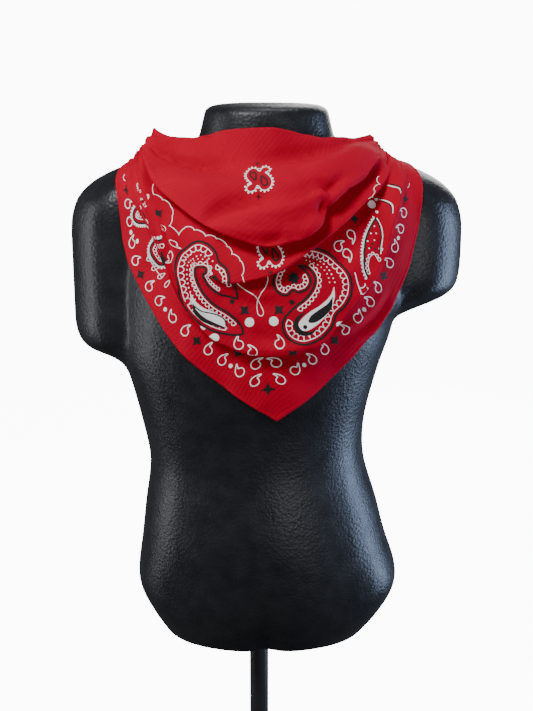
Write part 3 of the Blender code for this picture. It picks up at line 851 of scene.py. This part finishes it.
rings = []
for step in range(ROLL_STEPS + 1):
    across = -1 + 2 * step / ROLL_STEPS
    swelling = 0.5 + 0.5 * (1 - across**2) ** 0.6
    ring = []
    for k in range(ROLL_SIDES):
        turn = 2 * math.pi * k / ROLL_SIDES
        fold_in = (ROLL_PLEAT_DEPTH * math.cos(ROLL_PLEATS * turn + 1.5 * across)
                   + ROLL_DENT_DEPTH * math.cos(4 * turn - 2 * across))
        ring.append(knot_place(ROLL_HALF[0] * across,
                               ROLL_HALF[1] * swelling * (1 + fold_in) * math.cos(turn),
                               ROLL_HALF[2] * swelling * (1 + fold_in) * math.sin(turn)))
    rings.append(ring)
roll = ring_mesh(rings, closed=False)
rings = []
for step in range(BAND_STEPS):
    turn = 2 * math.pi * step / BAND_STEPS
    narrowing = 1 - BAND_NARROWING * math.sin(turn) ** 2
    ring = []
    for k in range(BAND_SIDES):
        way = 2 * math.pi * k / BAND_SIDES
        aside = math.cos(way)
        depth = (BAND_THICKNESS if math.sin(way) > 0 else BAND_UNDERSIDE) * math.sin(way)
        wander = 0.12 * math.sin(turn + 0.6)
        ripple = BAND_PLEAT_DEPTH * math.cos(2 * math.pi * BAND_PLEATS * (aside + wander) / 2)
        depth += ripple * max(math.sin(way), 0.0) ** 0.5
        reach = 1 + (depth - BAND_THICKNESS - 0.5) / KNOT_HALF[1]
        ring.append(knot_place(BAND_HALF_WIDTH * narrowing * aside + BAND_SLANT * math.sin(turn),
                               KNOT_HALF[1] * reach * math.cos(turn),
                               KNOT_HALF[2] * reach * math.sin(turn)))
    rings.append(ring)
band = ring_mesh(rings, closed=True)
for part, part_name in ((roll, "knot_roll"), (band, "knot_band")):
    bmesh.ops.recalc_face_normals(part, faces=part.faces)
    part_mesh = bpy.data.meshes.new(part_name)
    part.to_mesh(part_mesh)
    part.free()
    part_mesh.shade_smooth()
    linked(part_name, part_mesh)
bpy.ops.object.select_all(action="DESELECT")
knot = bpy.data.objects["knot_roll"]
for part_name in ("knot_roll", "knot_band"):
    bpy.data.objects[part_name].select_set(True)
bpy.context.view_layer.objects.active = knot
bpy.ops.object.join()
knot.name = "bandana_knot"
dress(knot, cotton, "red_cotton", "knot")


def tail_grid(side):
    """A tail's points: narrow and pleated under the knot, wide below, ending in the corner."""
    at = smooth_curve(TAIL)
    grid = []
    for row in range(TAIL_ROWS + 1):
        share = row / TAIL_ROWS
        half_width, lift = at(share)
        centre_x = side * (TAIL_ROOT[0] + TAIL_SPLAY * share)
        height = TAIL_ROOT[2] - TAIL_LENGTH * share
        line = []
        for strip in range(TAIL_STRIPS + 1):
            across = 2 * strip / TAIL_STRIPS - 1
            x = centre_x + across * half_width
            z = height + across * half_width * TAIL_SLANT * side * min(1.0, 4 * share)
            wave = TAIL_WAVE * half_width * math.cos(math.pi * across * 1.5)
            wave += TAIL_PLEAT_DEPTH * (1 - share) ** 1.3 * math.cos(3.5 * math.pi * across + side)
            near, normal, _, _ = form_skin.find_nearest(Vector((NECK_AXIS_X + x, TAIL_ROOT[1] + 20, z)) * MM)
            y = max(near.y / MM + lift + wave, TAIL_ROOT[1] * (1 - share))
            line.append(tuple(clear_of_form(Vector((NECK_AXIS_X + x, y, z)), TAIL_LEAST)))
        grid.append(line)
    return np.array(grid) * MM


def tail_flat(side):
    """Where a tail's points lie on the flat square: its lower part is the square's corner."""
    flat = []
    for row in range(TAIL_ROWS + 1):
        along = HALF_DIAGONAL - TAIL_LENGTH * (1 - row / TAIL_ROWS)
        wide = HALF_DIAGONAL - along
        flat.append([(side * along, wide * strip / TAIL_STRIPS) for strip in range(TAIL_STRIPS + 1)])
    return np.array(flat)


tails, tail_sheets, tail_hems = [], [], []
for name, side in (("tail_right", -1), ("tail_left", 1)):
    grid = tail_grid(side)
    tail = grid_mesh("bandana_" + name, grid, tail_flat(side))
    thicken(tail, CLOTH_THICKNESS * MM)
    dress(tail, cotton, "red_cotton", name)
    tails.append(tail)
    tail_sheets.append((grid, tail_flat(side)))
    tail_hems.append(edge_roll("bandana_hem_" + name, grid))

# ---------------------------------------------------------------- Printed pattern
# A traditional bandana print in two inks, white and black, screened on the flat square before it is
# hemmed. Every motif is drawn here on the flat square, in millimetres: across from the front middle,
# and down from the diagonal fold. Each ink is one film of small facets that lies on the cloth.

FINE_LINE, LINE, BOLD_LINE = 0.75, 0.85, 1.9
white, black = [], []


def curve_through(points, closed=False, steps=6):
    """A smooth curve through a few points, each with its columns."""
    rows = [np.array(p, float) for p in points]
    count = len(rows)
    result = []
    for k in range(count if closed else count - 1):
        before = rows[k - 1] if closed or k else rows[0]
        here, after = rows[k], rows[(k + 1) % count]
        beyond = rows[(k + 2) % count] if closed or k + 2 < count else rows[-1]
        for step in range(steps):
            result.append(blend(before, here, after, beyond, step / steps))
    return np.array(result + [rows[0] if closed else rows[-1]])


def sides_of(path, half):
    """The two edges of a line of the given half width along a path."""
    closed = np.allclose(path[0], path[-1])
    along = np.gradient(path, axis=0)
    if closed:
        along[0] = along[-1] = path[1] - path[-2]
    aside = np.stack([-along[:, 1], along[:, 0]], 1)
    aside /= np.linalg.norm(aside, axis=1)[:, None] + 1e-9
    return path + aside * half, path - aside * half


def stroke(ink, path, width):
    """A line of ink; width is one number, or a number for every point of the path."""
    path = np.array(path, float)
    left, right = sides_of(path, np.broadcast_to(np.array(width) / 2, len(path))[:, None])
    for k in range(len(path) - 1):
        ink.append((left[k], right[k], right[k + 1], left[k + 1]))


def blot(ink, outline, centre):
    """A filled shape whose whole outline is in sight of its centre."""
    for here, after in zip(outline, outline[1:]):
        ink.append((centre, here, after))


def blade(ink, rows):
    """A filled teardrop or leaf along a curve. Columns: across, down, width."""
    rows = curve_through(rows)
    stroke(ink, rows[:, :2], np.maximum(rows[:, 2], 0.05))


def dot(ink, across, down, radius):
    """A round dot."""
    turns = np.linspace(0, 2 * math.pi, 17)
    centre = np.array((across, down), float)
    blot(ink, centre + radius * np.stack([np.cos(turns), np.sin(turns)], 1), centre)


def star(ink, across, down, reach, turn=45.0, waist=0.5):
    """A four-pointed star with hollow sides."""
    centre = np.array((across, down), float)
    outline = []
    for step in range(33):
        angle = 2 * math.pi * step / 32
        off_point = abs((angle / (math.pi / 2) + 0.5) % 1 - 0.5) * 2
        size = reach * (1 - (1 - waist) * (1 - (1 - off_point) ** 2) ** 0.8)
        heading = angle + math.radians(turn)
        outline.append(centre + size * np.array((math.cos(heading), math.sin(heading))))
    blot(ink, outline, centre)


def placed(points, across, down, turn, size=1.0, mirror=1):
    """Points of a small motif, turned clockwise by degrees, scaled and set on the square."""
    angle = math.radians(turn)
    right = np.array((math.cos(angle), math.sin(angle)))
    up = np.array((math.sin(angle), -math.cos(angle)))
    return [np.array((across, down)) + size * (mirror * x * right + y * up) for x, y in points]


COMMA = ((6.4, 5.2), (2.4, 5.0), (-1.6, 3.6), (-3.9, 0.6), (-3.5, -2.8), (-0.6, -4.7), (2.8, -3.8),
         (4.1, -1.0), (3.4, 1.2), (2.8, 2.6))


def comma(across, down, turn, mirror):
    """A small comma-shaped paisley in white outline."""
    outline = curve_through(placed(COMMA, across, down, turn, mirror=mirror), closed=True, steps=5)
    stroke(white, outline, 1.05)


def marks_along(path, pitch):
    """Points spaced evenly along a path."""
    gone = np.concatenate([[0], np.cumsum(np.linalg.norm(np.diff(path, axis=0), axis=1))])
    marks = np.linspace(0, gone[-1], max(1, round(gone[-1] / pitch)) + 1)
    return np.stack([np.interp(marks, gone, path[:, k]) for k in (0, 1)], 1)


def arch(ink, start, end, height, width):
    """An arched line between two points; a negative height bends it to the other side."""
    start, end = np.array(start, float), np.array(end, float)
    along = end - start
    aside = np.array((-along[1], along[0])) / (np.linalg.norm(along) + 1e-9)
    turns = np.linspace(0, math.pi, 9)[:, None]
    stroke(ink, (start + end) / 2 - along / 2 * np.cos(turns) + aside * height * np.sin(turns), width)


def scallops(path, pitch, depth, width=LINE):
    """A row of white arches along a path, with the line that they stand on."""
    stroke(white, path, width)
    points = marks_along(path, pitch)
    for start, end in zip(points, points[1:]):
        arch(white, start, end, depth, width)


def beads(path, pitch, radius):
    """A row of white dots along a path."""
    for across, down in marks_along(path, pitch):
        dot(white, across, down, radius)


def beside(path, distance):
    """A path moved sideways."""
    return sides_of(np.array(path, float), distance)[0]


# The border: a row of stars, commas and dots a little way in from the hem, with the same six places
# between one star and the next. The two rows meet in the corner star.
RIGHT_ROW = ((-7, 360), (-70, 299), (-140, 244), (-191, 180), (-251, 118), (-312, 58),
             (-371, 0))
LEFT_ROW = ((-7, 360), (55, 304), (116, 245), (172, 186), (235, 122), (298, 60), (358, 0))
# From one star to the next. Columns: share of the way, heading of a comma in degrees or None for a dot
PERIOD = ((0.18, 0), (0.385, -62), (0.51, None), (0.635, 8), (0.835, -10))

star(black, -7, 360, 6.6, 0, 0.42)
for row, hand in ((RIGHT_ROW, 1), (LEFT_ROW, -1)):
    for start, end in zip(row, row[1:]):
        if end[1]:
            star(black, *end, 5.8)
        for share, heading in PERIOD:
            across, down = np.array(start) * (1 - share) + np.array(end) * share
            if heading is None:
                dot(white, across, down, 2.1)
            else:
                comma(across, down, hand * heading, hand)

# The field's thin line: arches between cusps, then one loop above the corner group.
# Columns: across, down, height of the arch that leads there
FIELD_LINE = ((-129, 106, 0), (-123, 120, 1.5), (-112, 127, -1.5), (-101, 136, -2), (-98, 146, -2),
              (-100, 156, -1.5), (-90, 166, -1.5), (-85, 160, -1), (-76, 163, -2.5), (-66, 169, -2),
              (-57, 170, -2), (-47, 175, -2), (-41, 181, -2), (-32, 185, -2), (-28, 197, -3), (-25, 210, -2))
FIELD_LOOP = ((-25, 210), (-31, 216), (-30, 222), (-24, 228), (-16, 234), (-12, 241), (-9, 249),
              (-11, 252), (-14, 250), (-14.5, 241), (-11, 233), (-6, 226), (-4, 219), (-5, 210))
FIELD_END = ((98, 124, 0), (108, 116, 2), (118, 110, -3), (124, 98, -3))


def arches(line):
    """The thin line's arches, from each cusp to the next."""
    for before, after in zip(line, line[1:]):
        arch(white, before[:2], after[:2], after[2], FINE_LINE)


arches(FIELD_LINE)
stroke(white, curve_through(FIELD_LOOP), FINE_LINE)
arches(FIELD_END)

# The twin paisleys in the middle of the field: a toothed outline round two black drops.
TWIN_HALF = ((0, -8.5), (1.8, -13), (6.2, -15.3), (10, -12), (7.9, -8.9), (6, -7), (8.8, -4.2), (11.8, -0.6),
             (13, 4.2), (11.6, 9.4), (8.2, 12.3), (4.2, 12.2))
TOOTH = 1.2
TWIN_DROP = ((0, 5.6), (2.2, 1.0), (2.3, -2.6), (0, -4.6), (-2.3, -2.6), (-2.2, 1.0))


def twin_paisleys(across, down):
    """Two small paisleys set head to tail, with a little cross above and below."""
    half = [np.array(p, float) for p in TWIN_HALF]
    outline = curve_through(np.array(half + [-p for p in half]) + (across, down), closed=True)
    stroke(white, outline, 0.9)
    beads(beside(outline, -TOOTH), 3.5, 0.95)
    for way in (1, -1):
        drop = placed(TWIN_DROP, across + way * 5.5, down + way * 3, 155 if way < 0 else -25, 1.1)
        stroke(black, curve_through(drop, closed=True), 1.6)
        star(black, across + 3 * way - 1, down + way * 18.5, 2.6, 0, 0.3)


twin_paisleys(-6, 50)
twin_paisleys(-4, 172)

# The large paisley on the wearer's left, curled at its head: a black outline, white scallops inside
# it, a row of beads, and a black drop rimmed in white in its bulb. Its outline runs from the head
# round the bulb and back up the neck to the notch, then round the head.
BIG, SMALL = (6.0, 5.0), (4.4, 3.6)  # a scallop's width and depth


def run(outline, first, last):
    """The stretch of an outline between two of the points that it was drawn through."""
    return outline[first * 6:last * 6 + 1]


LEFT_PAISLEY = ((27, 190), (42, 191), (57, 197), (68, 208), (73.5, 221), (72, 233), (65, 244), (57, 251),
                (52, 262), (42, 272), (27, 278), (14, 274), (8, 264), (10, 254), (20, 244), (31, 235),
                (38, 225), (39, 216), (33, 209), (24, 207), (32, 213), (35, 221), (31, 228), (23, 231),
                (18, 229.5), (12, 234), (4, 231), (0.5, 223), (3, 213), (9, 203), (17, 195))
outline = curve_through(LEFT_PAISLEY, closed=True)
stroke(black, outline, BOLD_LINE)
scallops(beside(run(outline, 0, 13), 3.2), *BIG)
scallops(beside(run(outline, 14, 18), 2.6), *SMALL)
scallops(beside(run(outline, 20, 29), 2.6), *SMALL)
beads(curve_through(((28, 198), (42, 201), (53, 209), (58, 222))), 3.8, 0.75)
beads(curve_through(((32, 202), (43, 206), (51, 213), (53, 222))), 4.2, 0.6)
blade(white, ((57, 226, 0.4), (54, 236, 5), (46, 246, 10), (36, 254, 13), (27, 261, 11), (24, 264, 5)))
blade(black, ((54.5, 235, 0.4), (51, 243, 5), (44, 249, 7.5), (36, 254.5, 7), (31.5, 257.5, 2)))
blade(black, ((29, 248, 0.3), (22, 254, 3.0), (20, 261, 4.6), (24, 267, 4.6), (32, 268, 3), (39, 263, 0.3)))
dot(black, 28, 262, 1.9)

TURNS = np.linspace(0, 2 * math.pi, 65)


def blossom(ink, across, down, reach, petals, stretch=1.0, lean=0.0):
    """A small filled blossom; stretch makes it long, along its lean in degrees."""
    size = reach * (1 + 0.16 * np.cos(petals * TURNS))
    lean = math.radians(lean)
    along = np.array((math.cos(lean), math.sin(lean)))
    aside = np.array((-along[1], along[0]))
    outline = [(across, down) + along * r * stretch * math.cos(t) + aside * r * math.sin(t)
               for r, t in zip(size, TURNS)]
    blot(ink, outline, np.array((across, down), float))


blossom(black, 19, 218.5, 4.9, 7)

# The large paisley on the wearer's right lies the other way up: its pointed foot is at the front
# middle and its head hooks over to end in a second point.
RIGHT_PAISLEY = ((-32, 234), (-34, 221), (-38, 213), (-38, 203), (-43, 194), (-51, 190), (-56, 181.5),
                 (-65, 175), (-75, 174), (-85, 181), (-90, 193), (-91, 207), (-88, 221), (-84, 233),
                 (-75, 246), (-62, 257.5), (-45, 265), (-29, 267), (-32, 256), (-42, 246), (-53, 238),
                 (-63, 227), (-70, 214), (-71, 203), (-67, 197.5), (-62, 198), (-61.5, 203), (-64, 210),
                 (-59, 220), (-50, 228), (-40, 232))
outline = curve_through(RIGHT_PAISLEY, closed=True)
stroke(black, outline, BOLD_LINE)
scallops(beside(run(outline, 1, 5), -2.8), SMALL[0], -SMALL[1])
scallops(beside(run(outline, 6, 16), -3.2), BIG[0], -BIG[1])
scallops(beside(run(outline, 18, 26), -2.6), SMALL[0], -SMALL[1])
scallops(beside(run(outline, 25, 29), -2.4), 3.6, -2.6)
beads(curve_through(((-57, 190), (-70, 186), (-78, 195), (-80, 208), (-77, 222), (-71, 232))), 4.0, 0.75)
beads(curve_through(((-62, 190), (-72, 190), (-76, 200), (-75, 212), (-71, 222))), 4.4, 0.6)
blade(white, ((-75.5, 226, 0.4), (-72, 235, 4), (-66, 243, 8), (-56, 249, 9.5), (-48, 254, 7), (-43, 261, 1)))
blade(black, ((-73, 236, 0.4), (-70.5, 243, 3), (-64, 250, 3.6), (-55, 255, 2.6), (-44, 260, 0.8)))
stroke(black, curve_through(((-73, 237), (-65, 243), (-52, 247), (-45, 252), (-43.5, 259))), 1.1)
blossom(black, -50, 208.5, 3.4, 5, 2.1, 60)

# Between them: dots, squares and the corner group.
for across, down, radius in ((-37, 237, 2.2), (17, 240, 2.3)):
    dot(black, across, down, radius)
for across, down, radius in ((-22, 257, 4.3), (0, 257, 4.3), (-64, 258, 2.4), (-54, 268, 4.2),
                             (59, 260, 2.6), (115, 151, 4.6), (-153, 214, 2.4), (108, 195, 2.2)):
    dot(white, across, down, radius)
for across, down in ((-26, 246), (5, 247)):
    star(black, across, down, 5.6)
for across, down, turn in ((-30, 318, 45), (16, 287, 45), (89, 164, 0), (-113, 142, 45)):
    star(black, across, down, 5.6, turn)
# Columns: across, down, heading in degrees, hand
LOOSE_COMMAS = ((-33, 276, -48, 1), (-20, 284, 20, -1), (5, 277, 34, -1), (-16, 333, 0, 1), (0, 333, -10, -1),
                (82, 179, 130, 1), (66, 189, 8, 1), (75, 196, 130, 1), (-107, 160, 165, 1),
                (-95, 177, 165, -1), (-99, 194, 165, 1), (132, 131, 10, 1))
for across, down, heading, hand in LOOSE_COMMAS:
    comma(across, down, heading, hand)

# The side paisleys, half hidden where the cloth turns up to the shoulders: a white toothed rim, a
# black line and white scallops inside.


def rimmed(points, side):
    """A paisley's visible rim; side is 1 or -1, whichever is inside."""
    path = curve_through(points)
    stroke(white, beside(path, -1.5 * side), 2.2)
    beads(beside(path, -2.9 * side), 3.4, 1.3)
    stroke(black, path, BOLD_LINE)
    scallops(beside(path, 4.0 * side), 4.4, 3.6 * side)


rimmed(((-137, 143), (-150, 158), (-162, 176), (-171, 190), (-169, 198), (-160, 198), (-146, 189),
        (-130, 177)), -1)
rimmed(((-111, 180), (-121, 187), (-129, 199), (-133, 212), (-129, 222), (-120, 230), (-110, 226)), -1)
blossom(black, -138, 166, 3.2, 5, 2.0, 110)
blossom(black, -108, 198, 3.2, 5, 2.0, 60)
blade(white, ((-129, 121, 2), (-130, 127, 6), (-134, 137, 6.5), (-139, 147, 3.5), (-141, 152, 0.4)))
leaf_edge = curve_through(((113, 166), (105, 173), (98, 181), (92.5, 191), (89, 201), (88, 211), (90, 219)))
leaf_back = curve_through(((113, 166), (114, 175), (112, 184), (108, 192), (105, 199)))
stroke(white, beside(leaf_edge, 1.5), 1.3)
beads(beside(leaf_edge, 2.4), 3.4, 1.1)
stroke(black, leaf_edge, 1.7)
stroke(black, leaf_back, 1.2)
stroke(white, beside(leaf_back, -1.5), 1.1)
scallops(curve_through(((92, 216), (92, 208), (95, 201), (100, 199), (103, 206))), 3.8, -2.6, 0.8)
for across, down in ((109, 173), (108, 180), (103, 179), (104, 186), (97, 186), (96, 193)):
    dot(white, across, down, 0.75)
for across, down in ((101, 189), (98, 192.5), (102, 194)):
    dot(black, across, down, 1.0)
stroke(white, curve_through(((-135, 213), (-134, 222), (-126, 233), (-116, 242))), FINE_LINE)
for across, down, turn in ((-132, 225, 40), (-125, 234, 60), (-117, 241, 50), (-108, 247, 30)):
    stroke(white, curve_through(placed(TWIN_DROP, across, down, turn, 0.8), closed=True), LINE)
for across, down in ((-155, 134), (-150, 137), (-152, 142), (-158, 143), (-160, 138)):
    stroke(white, curve_through(placed(TWIN_DROP, across, down, 0, 0.5), closed=True), LINE)
stroke(white, ((77.5, 214), (79.5, 224), (81.5, 234)), 1.1)
arch(white, (81.5, 234), (87, 228), 3, LINE)
arch(white, (80, 227), (86, 224), 2.4, LINE)
stroke(white, curve_through(((125, 148), (131, 153), (134, 160), (131, 168))), 1.4)
stroke(black, curve_through(((126, 149.5), (130, 154), (132.5, 160), (130.5, 167))), 1.2)
for across, down, radius in ((122, 147, 1.8), (118, 142, 1.2), (117, 160, 1.5)):
    dot(white, across, down, radius)
stroke(black, curve_through(((139, 130), (147, 141), (152, 152), (149, 163), (143, 172))), 1.6)
stroke(white, curve_through(((137, 131), (145, 142), (150, 152), (147, 163), (141, 172))), 1.4)

# The print is laid on the cloth: each facet of ink is cut along the cloth's own facets and lifted
# onto them, so that it follows every fold.
INK_LIFTS = {"white_print": 0.00012, "black_print": 0.00024}  # black is printed over white
BIN = 4.0  # millimetres of the flat square
LEAST_SPREAD = 0.4  # where the cloth is gathered tighter than this, its print is inside the pleats


def facets(grid, flat):
    """The triangles of a sheet: their corners on the flat square, in space, and the ways out."""
    sources = (flat, grid, grid_normals(grid))
    corners = [np.stack([a[:-1, :-1], a[:-1, 1:], a[1:, 1:], a[1:, :-1]], 2) for a in sources]
    for order in ([0, 1, 2], [0, 2, 3]):
        yield from zip(*[c[:, :, order].reshape(-1, 3, c.shape[-1]) for c in corners])


def cut(poly, edge_start, edge_end):
    """The part of a convex shape that lies to the left of an edge."""
    ex, ey = edge_end[0] - edge_start[0], edge_end[1] - edge_start[1]
    depths = [ex * (y - edge_start[1]) - ey * (x - edge_start[0]) for x, y in poly]
    kept = []
    for k, (here, depth) in enumerate(zip(poly, depths)):
        before, before_depth = poly[k - 1], depths[k - 1]
        if (depth >= 0) != (before_depth >= 0):
            share = before_depth / (before_depth - depth)
            kept.append((before[0] + (here[0] - before[0]) * share,
                         before[1] + (here[1] - before[1]) * share))
        if depth >= 0:
            kept.append(here)
    return kept


def bins_of(points):
    """The bins of the flat square that a shape's box touches."""
    low, high = np.min(points, axis=0) // BIN, np.max(points, axis=0) // BIN
    return [(i, j) for i in range(int(low[0]), int(high[0]) + 1)
            for j in range(int(low[1]), int(high[1]) + 1)]


cloth_bins = {}
for sheet_grid, sheet_flat in ((cloth_grid, cloth_flat), *tail_sheets):
    for flat_corners, space_corners, outward in facets(sheet_grid, sheet_flat):
        first, second = flat_corners[1] - flat_corners[0], flat_corners[2] - flat_corners[0]
        flat_area = first[0] * second[1] - first[1] * second[0]
        space_area = np.linalg.norm(np.cross(space_corners[1] - space_corners[0],
                                             space_corners[2] - space_corners[0])) / MM**2
        if abs(flat_area) < 1e-6 or space_area < LEAST_SPREAD * abs(flat_area):
            continue
        if flat_area < 0:
            flat_corners, space_corners, outward = flat_corners[::-1], space_corners[::-1], outward[::-1]
        facet = (flat_corners.tolist(), space_corners, outward, abs(flat_area))
        for place in bins_of(flat_corners):
            cloth_bins.setdefault(place, []).append(facet)


def film(name, ink, material):
    """One colour of the print as a thin film on the cloth."""
    points, faces, flats = [], [], []
    for shape in ink:
        shape = [tuple(map(float, p)) for p in shape]
        turned = sum(x0 * y1 - x1 * y0 for (x0, y0), (x1, y1) in zip(shape, shape[1:] + shape[:1]))
        if turned < 0:
            shape = shape[::-1]
        met = {id(facet): facet for place in bins_of(shape) for facet in cloth_bins.get(place, ())}
        for (a, b, c), space_corners, outward, flat_area in met.values():
            piece = cut(shape, a, b)
            piece = cut(piece, b, c) if piece else piece
            piece = cut(piece, c, a) if piece else piece
            if len(piece) < 3:
                continue
            faces.append(tuple(range(len(points), len(points) + len(piece))))
            corners = space_corners + outward * INK_LIFTS[name]
            for x, y in piece:
                at_b = ((x - a[0]) * (c[1] - a[1]) - (y - a[1]) * (c[0] - a[0])) / flat_area
                at_c = ((b[0] - a[0]) * (y - a[1]) - (b[1] - a[1]) * (x - a[0])) / flat_area
                points.append((1 - at_b - at_c) * corners[0] + at_b * corners[1] + at_c * corners[2])
                flats.append((x * MM, y * MM))
    mesh = bpy.data.meshes.new(name)
    mesh.from_pydata([tuple(p) for p in points], [], faces)
    uv = mesh.uv_layers.new(name="flat_pattern")
    uv.data.foreach_set("uv", np.array([flats[v] for face in faces for v in face], np.float32).ravel())
    mesh.shade_smooth()
    piece = linked(name, mesh)
    dress(piece, material, "red_cotton")
    return piece


def ink_finish(name, colour, roughness):
    """Screen ink, worked into the knit: it takes the ribs' relief and has little gloss."""
    finish, tree, shader = new_material(name, colour, roughness)
    add_ribs(tree, shader, 0.4, 0.0002)
    return finish


white_print = film("white_print", white, ink_finish("white_screen_ink", "#FFFFFF", 0.6))
black_print = film("black_print", black, ink_finish("black_screen_ink", "#0E0B0C", 0.8))

# What shows of the square: the stretch from one end at the knot to the other, measured on the flat.
corners = cloth_flat[:-1, :-1], cloth_flat[1:, :-1], cloth_flat[1:, 1:], cloth_flat[:-1, 1:]
shown_cut = sum(a[..., 0] * b[..., 1] - b[..., 0] * a[..., 1]
                for a, b in zip(corners, corners[1:] + corners[:1]))
shown_cut = float(np.abs(shown_cut).sum() / 2 * MM**2)

# ---------------------------------------------------------------- Stand
# A turned steel base plate, a round steel pole and a flared socket collar, all in satin black paint.
# The pole stands in the middle of the plate, and the collar on it holds the torso.

BASE_RADIUS, BASE_HEIGHT, BASE_EDGE = 0.130, 0.008, 0.002
SMALL_EDGE = 0.0008
SHARP = math.radians(40)
# Satin paint under a thin clear coat: the eye sees soft long highlights with a trace of orange peel.
paint, tree, shader = new_material("satin_black_paint", "#1E1F22", 0.36)
shader.inputs["Coat Weight"].default_value = 0.25
place = add_node(tree, "TexCoord")
peel = add_node(tree, "TexNoise", None, {"Vector": place.outputs["Object"]}, Scale=900.0, Detail=3.0)
relief = add_node(tree, "Bump", None, {"Height": peel.outputs["Fac"]}, Strength=0.15, Distance=0.0002)
tree.links.new(relief.outputs["Normal"], shader.inputs["Normal"])


def turned(name, node, radius, low, high, bevel, sides):
    """A turned cylinder with rounded edges, between two heights."""
    bpy.ops.object.select_all(action="DESELECT")
    bpy.ops.mesh.primitive_cylinder_add(vertices=sides, radius=radius, depth=high - low,
                                        location=(0, 0, (low + high) / 2))
    piece = bpy.context.object
    piece.name = name
    bpy.ops.object.transform_apply(location=True, rotation=True, scale=True)
    edge = piece.modifiers.new("Bevel", "BEVEL")
    edge.width = bevel
    edge.segments = 4
    bpy.ops.object.modifier_apply(modifier="Bevel")
    bpy.ops.object.shade_smooth_by_angle(angle=SHARP)
    dress(piece, paint, "black_steel", node)


turned("stand_base", "form_base", BASE_RADIUS, 0.0, BASE_HEIGHT, BASE_EDGE, 160)
pole_low, pole_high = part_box("form_pole")
turned("stand_pole", "form_pole", pole_high.x, pole_low.z, pole_high.z, SMALL_EDGE, 64)
collar = merged_copy("form_collar", "stand_collar")
edge = collar.modifiers.new("Bevel", "BEVEL")
edge.width = SMALL_EDGE
edge.segments = 3
bpy.ops.object.modifier_apply(modifier="Bevel")
bpy.ops.object.shade_smooth_by_angle(angle=SHARP)
dress(collar, paint, "black_steel", "form_collar")
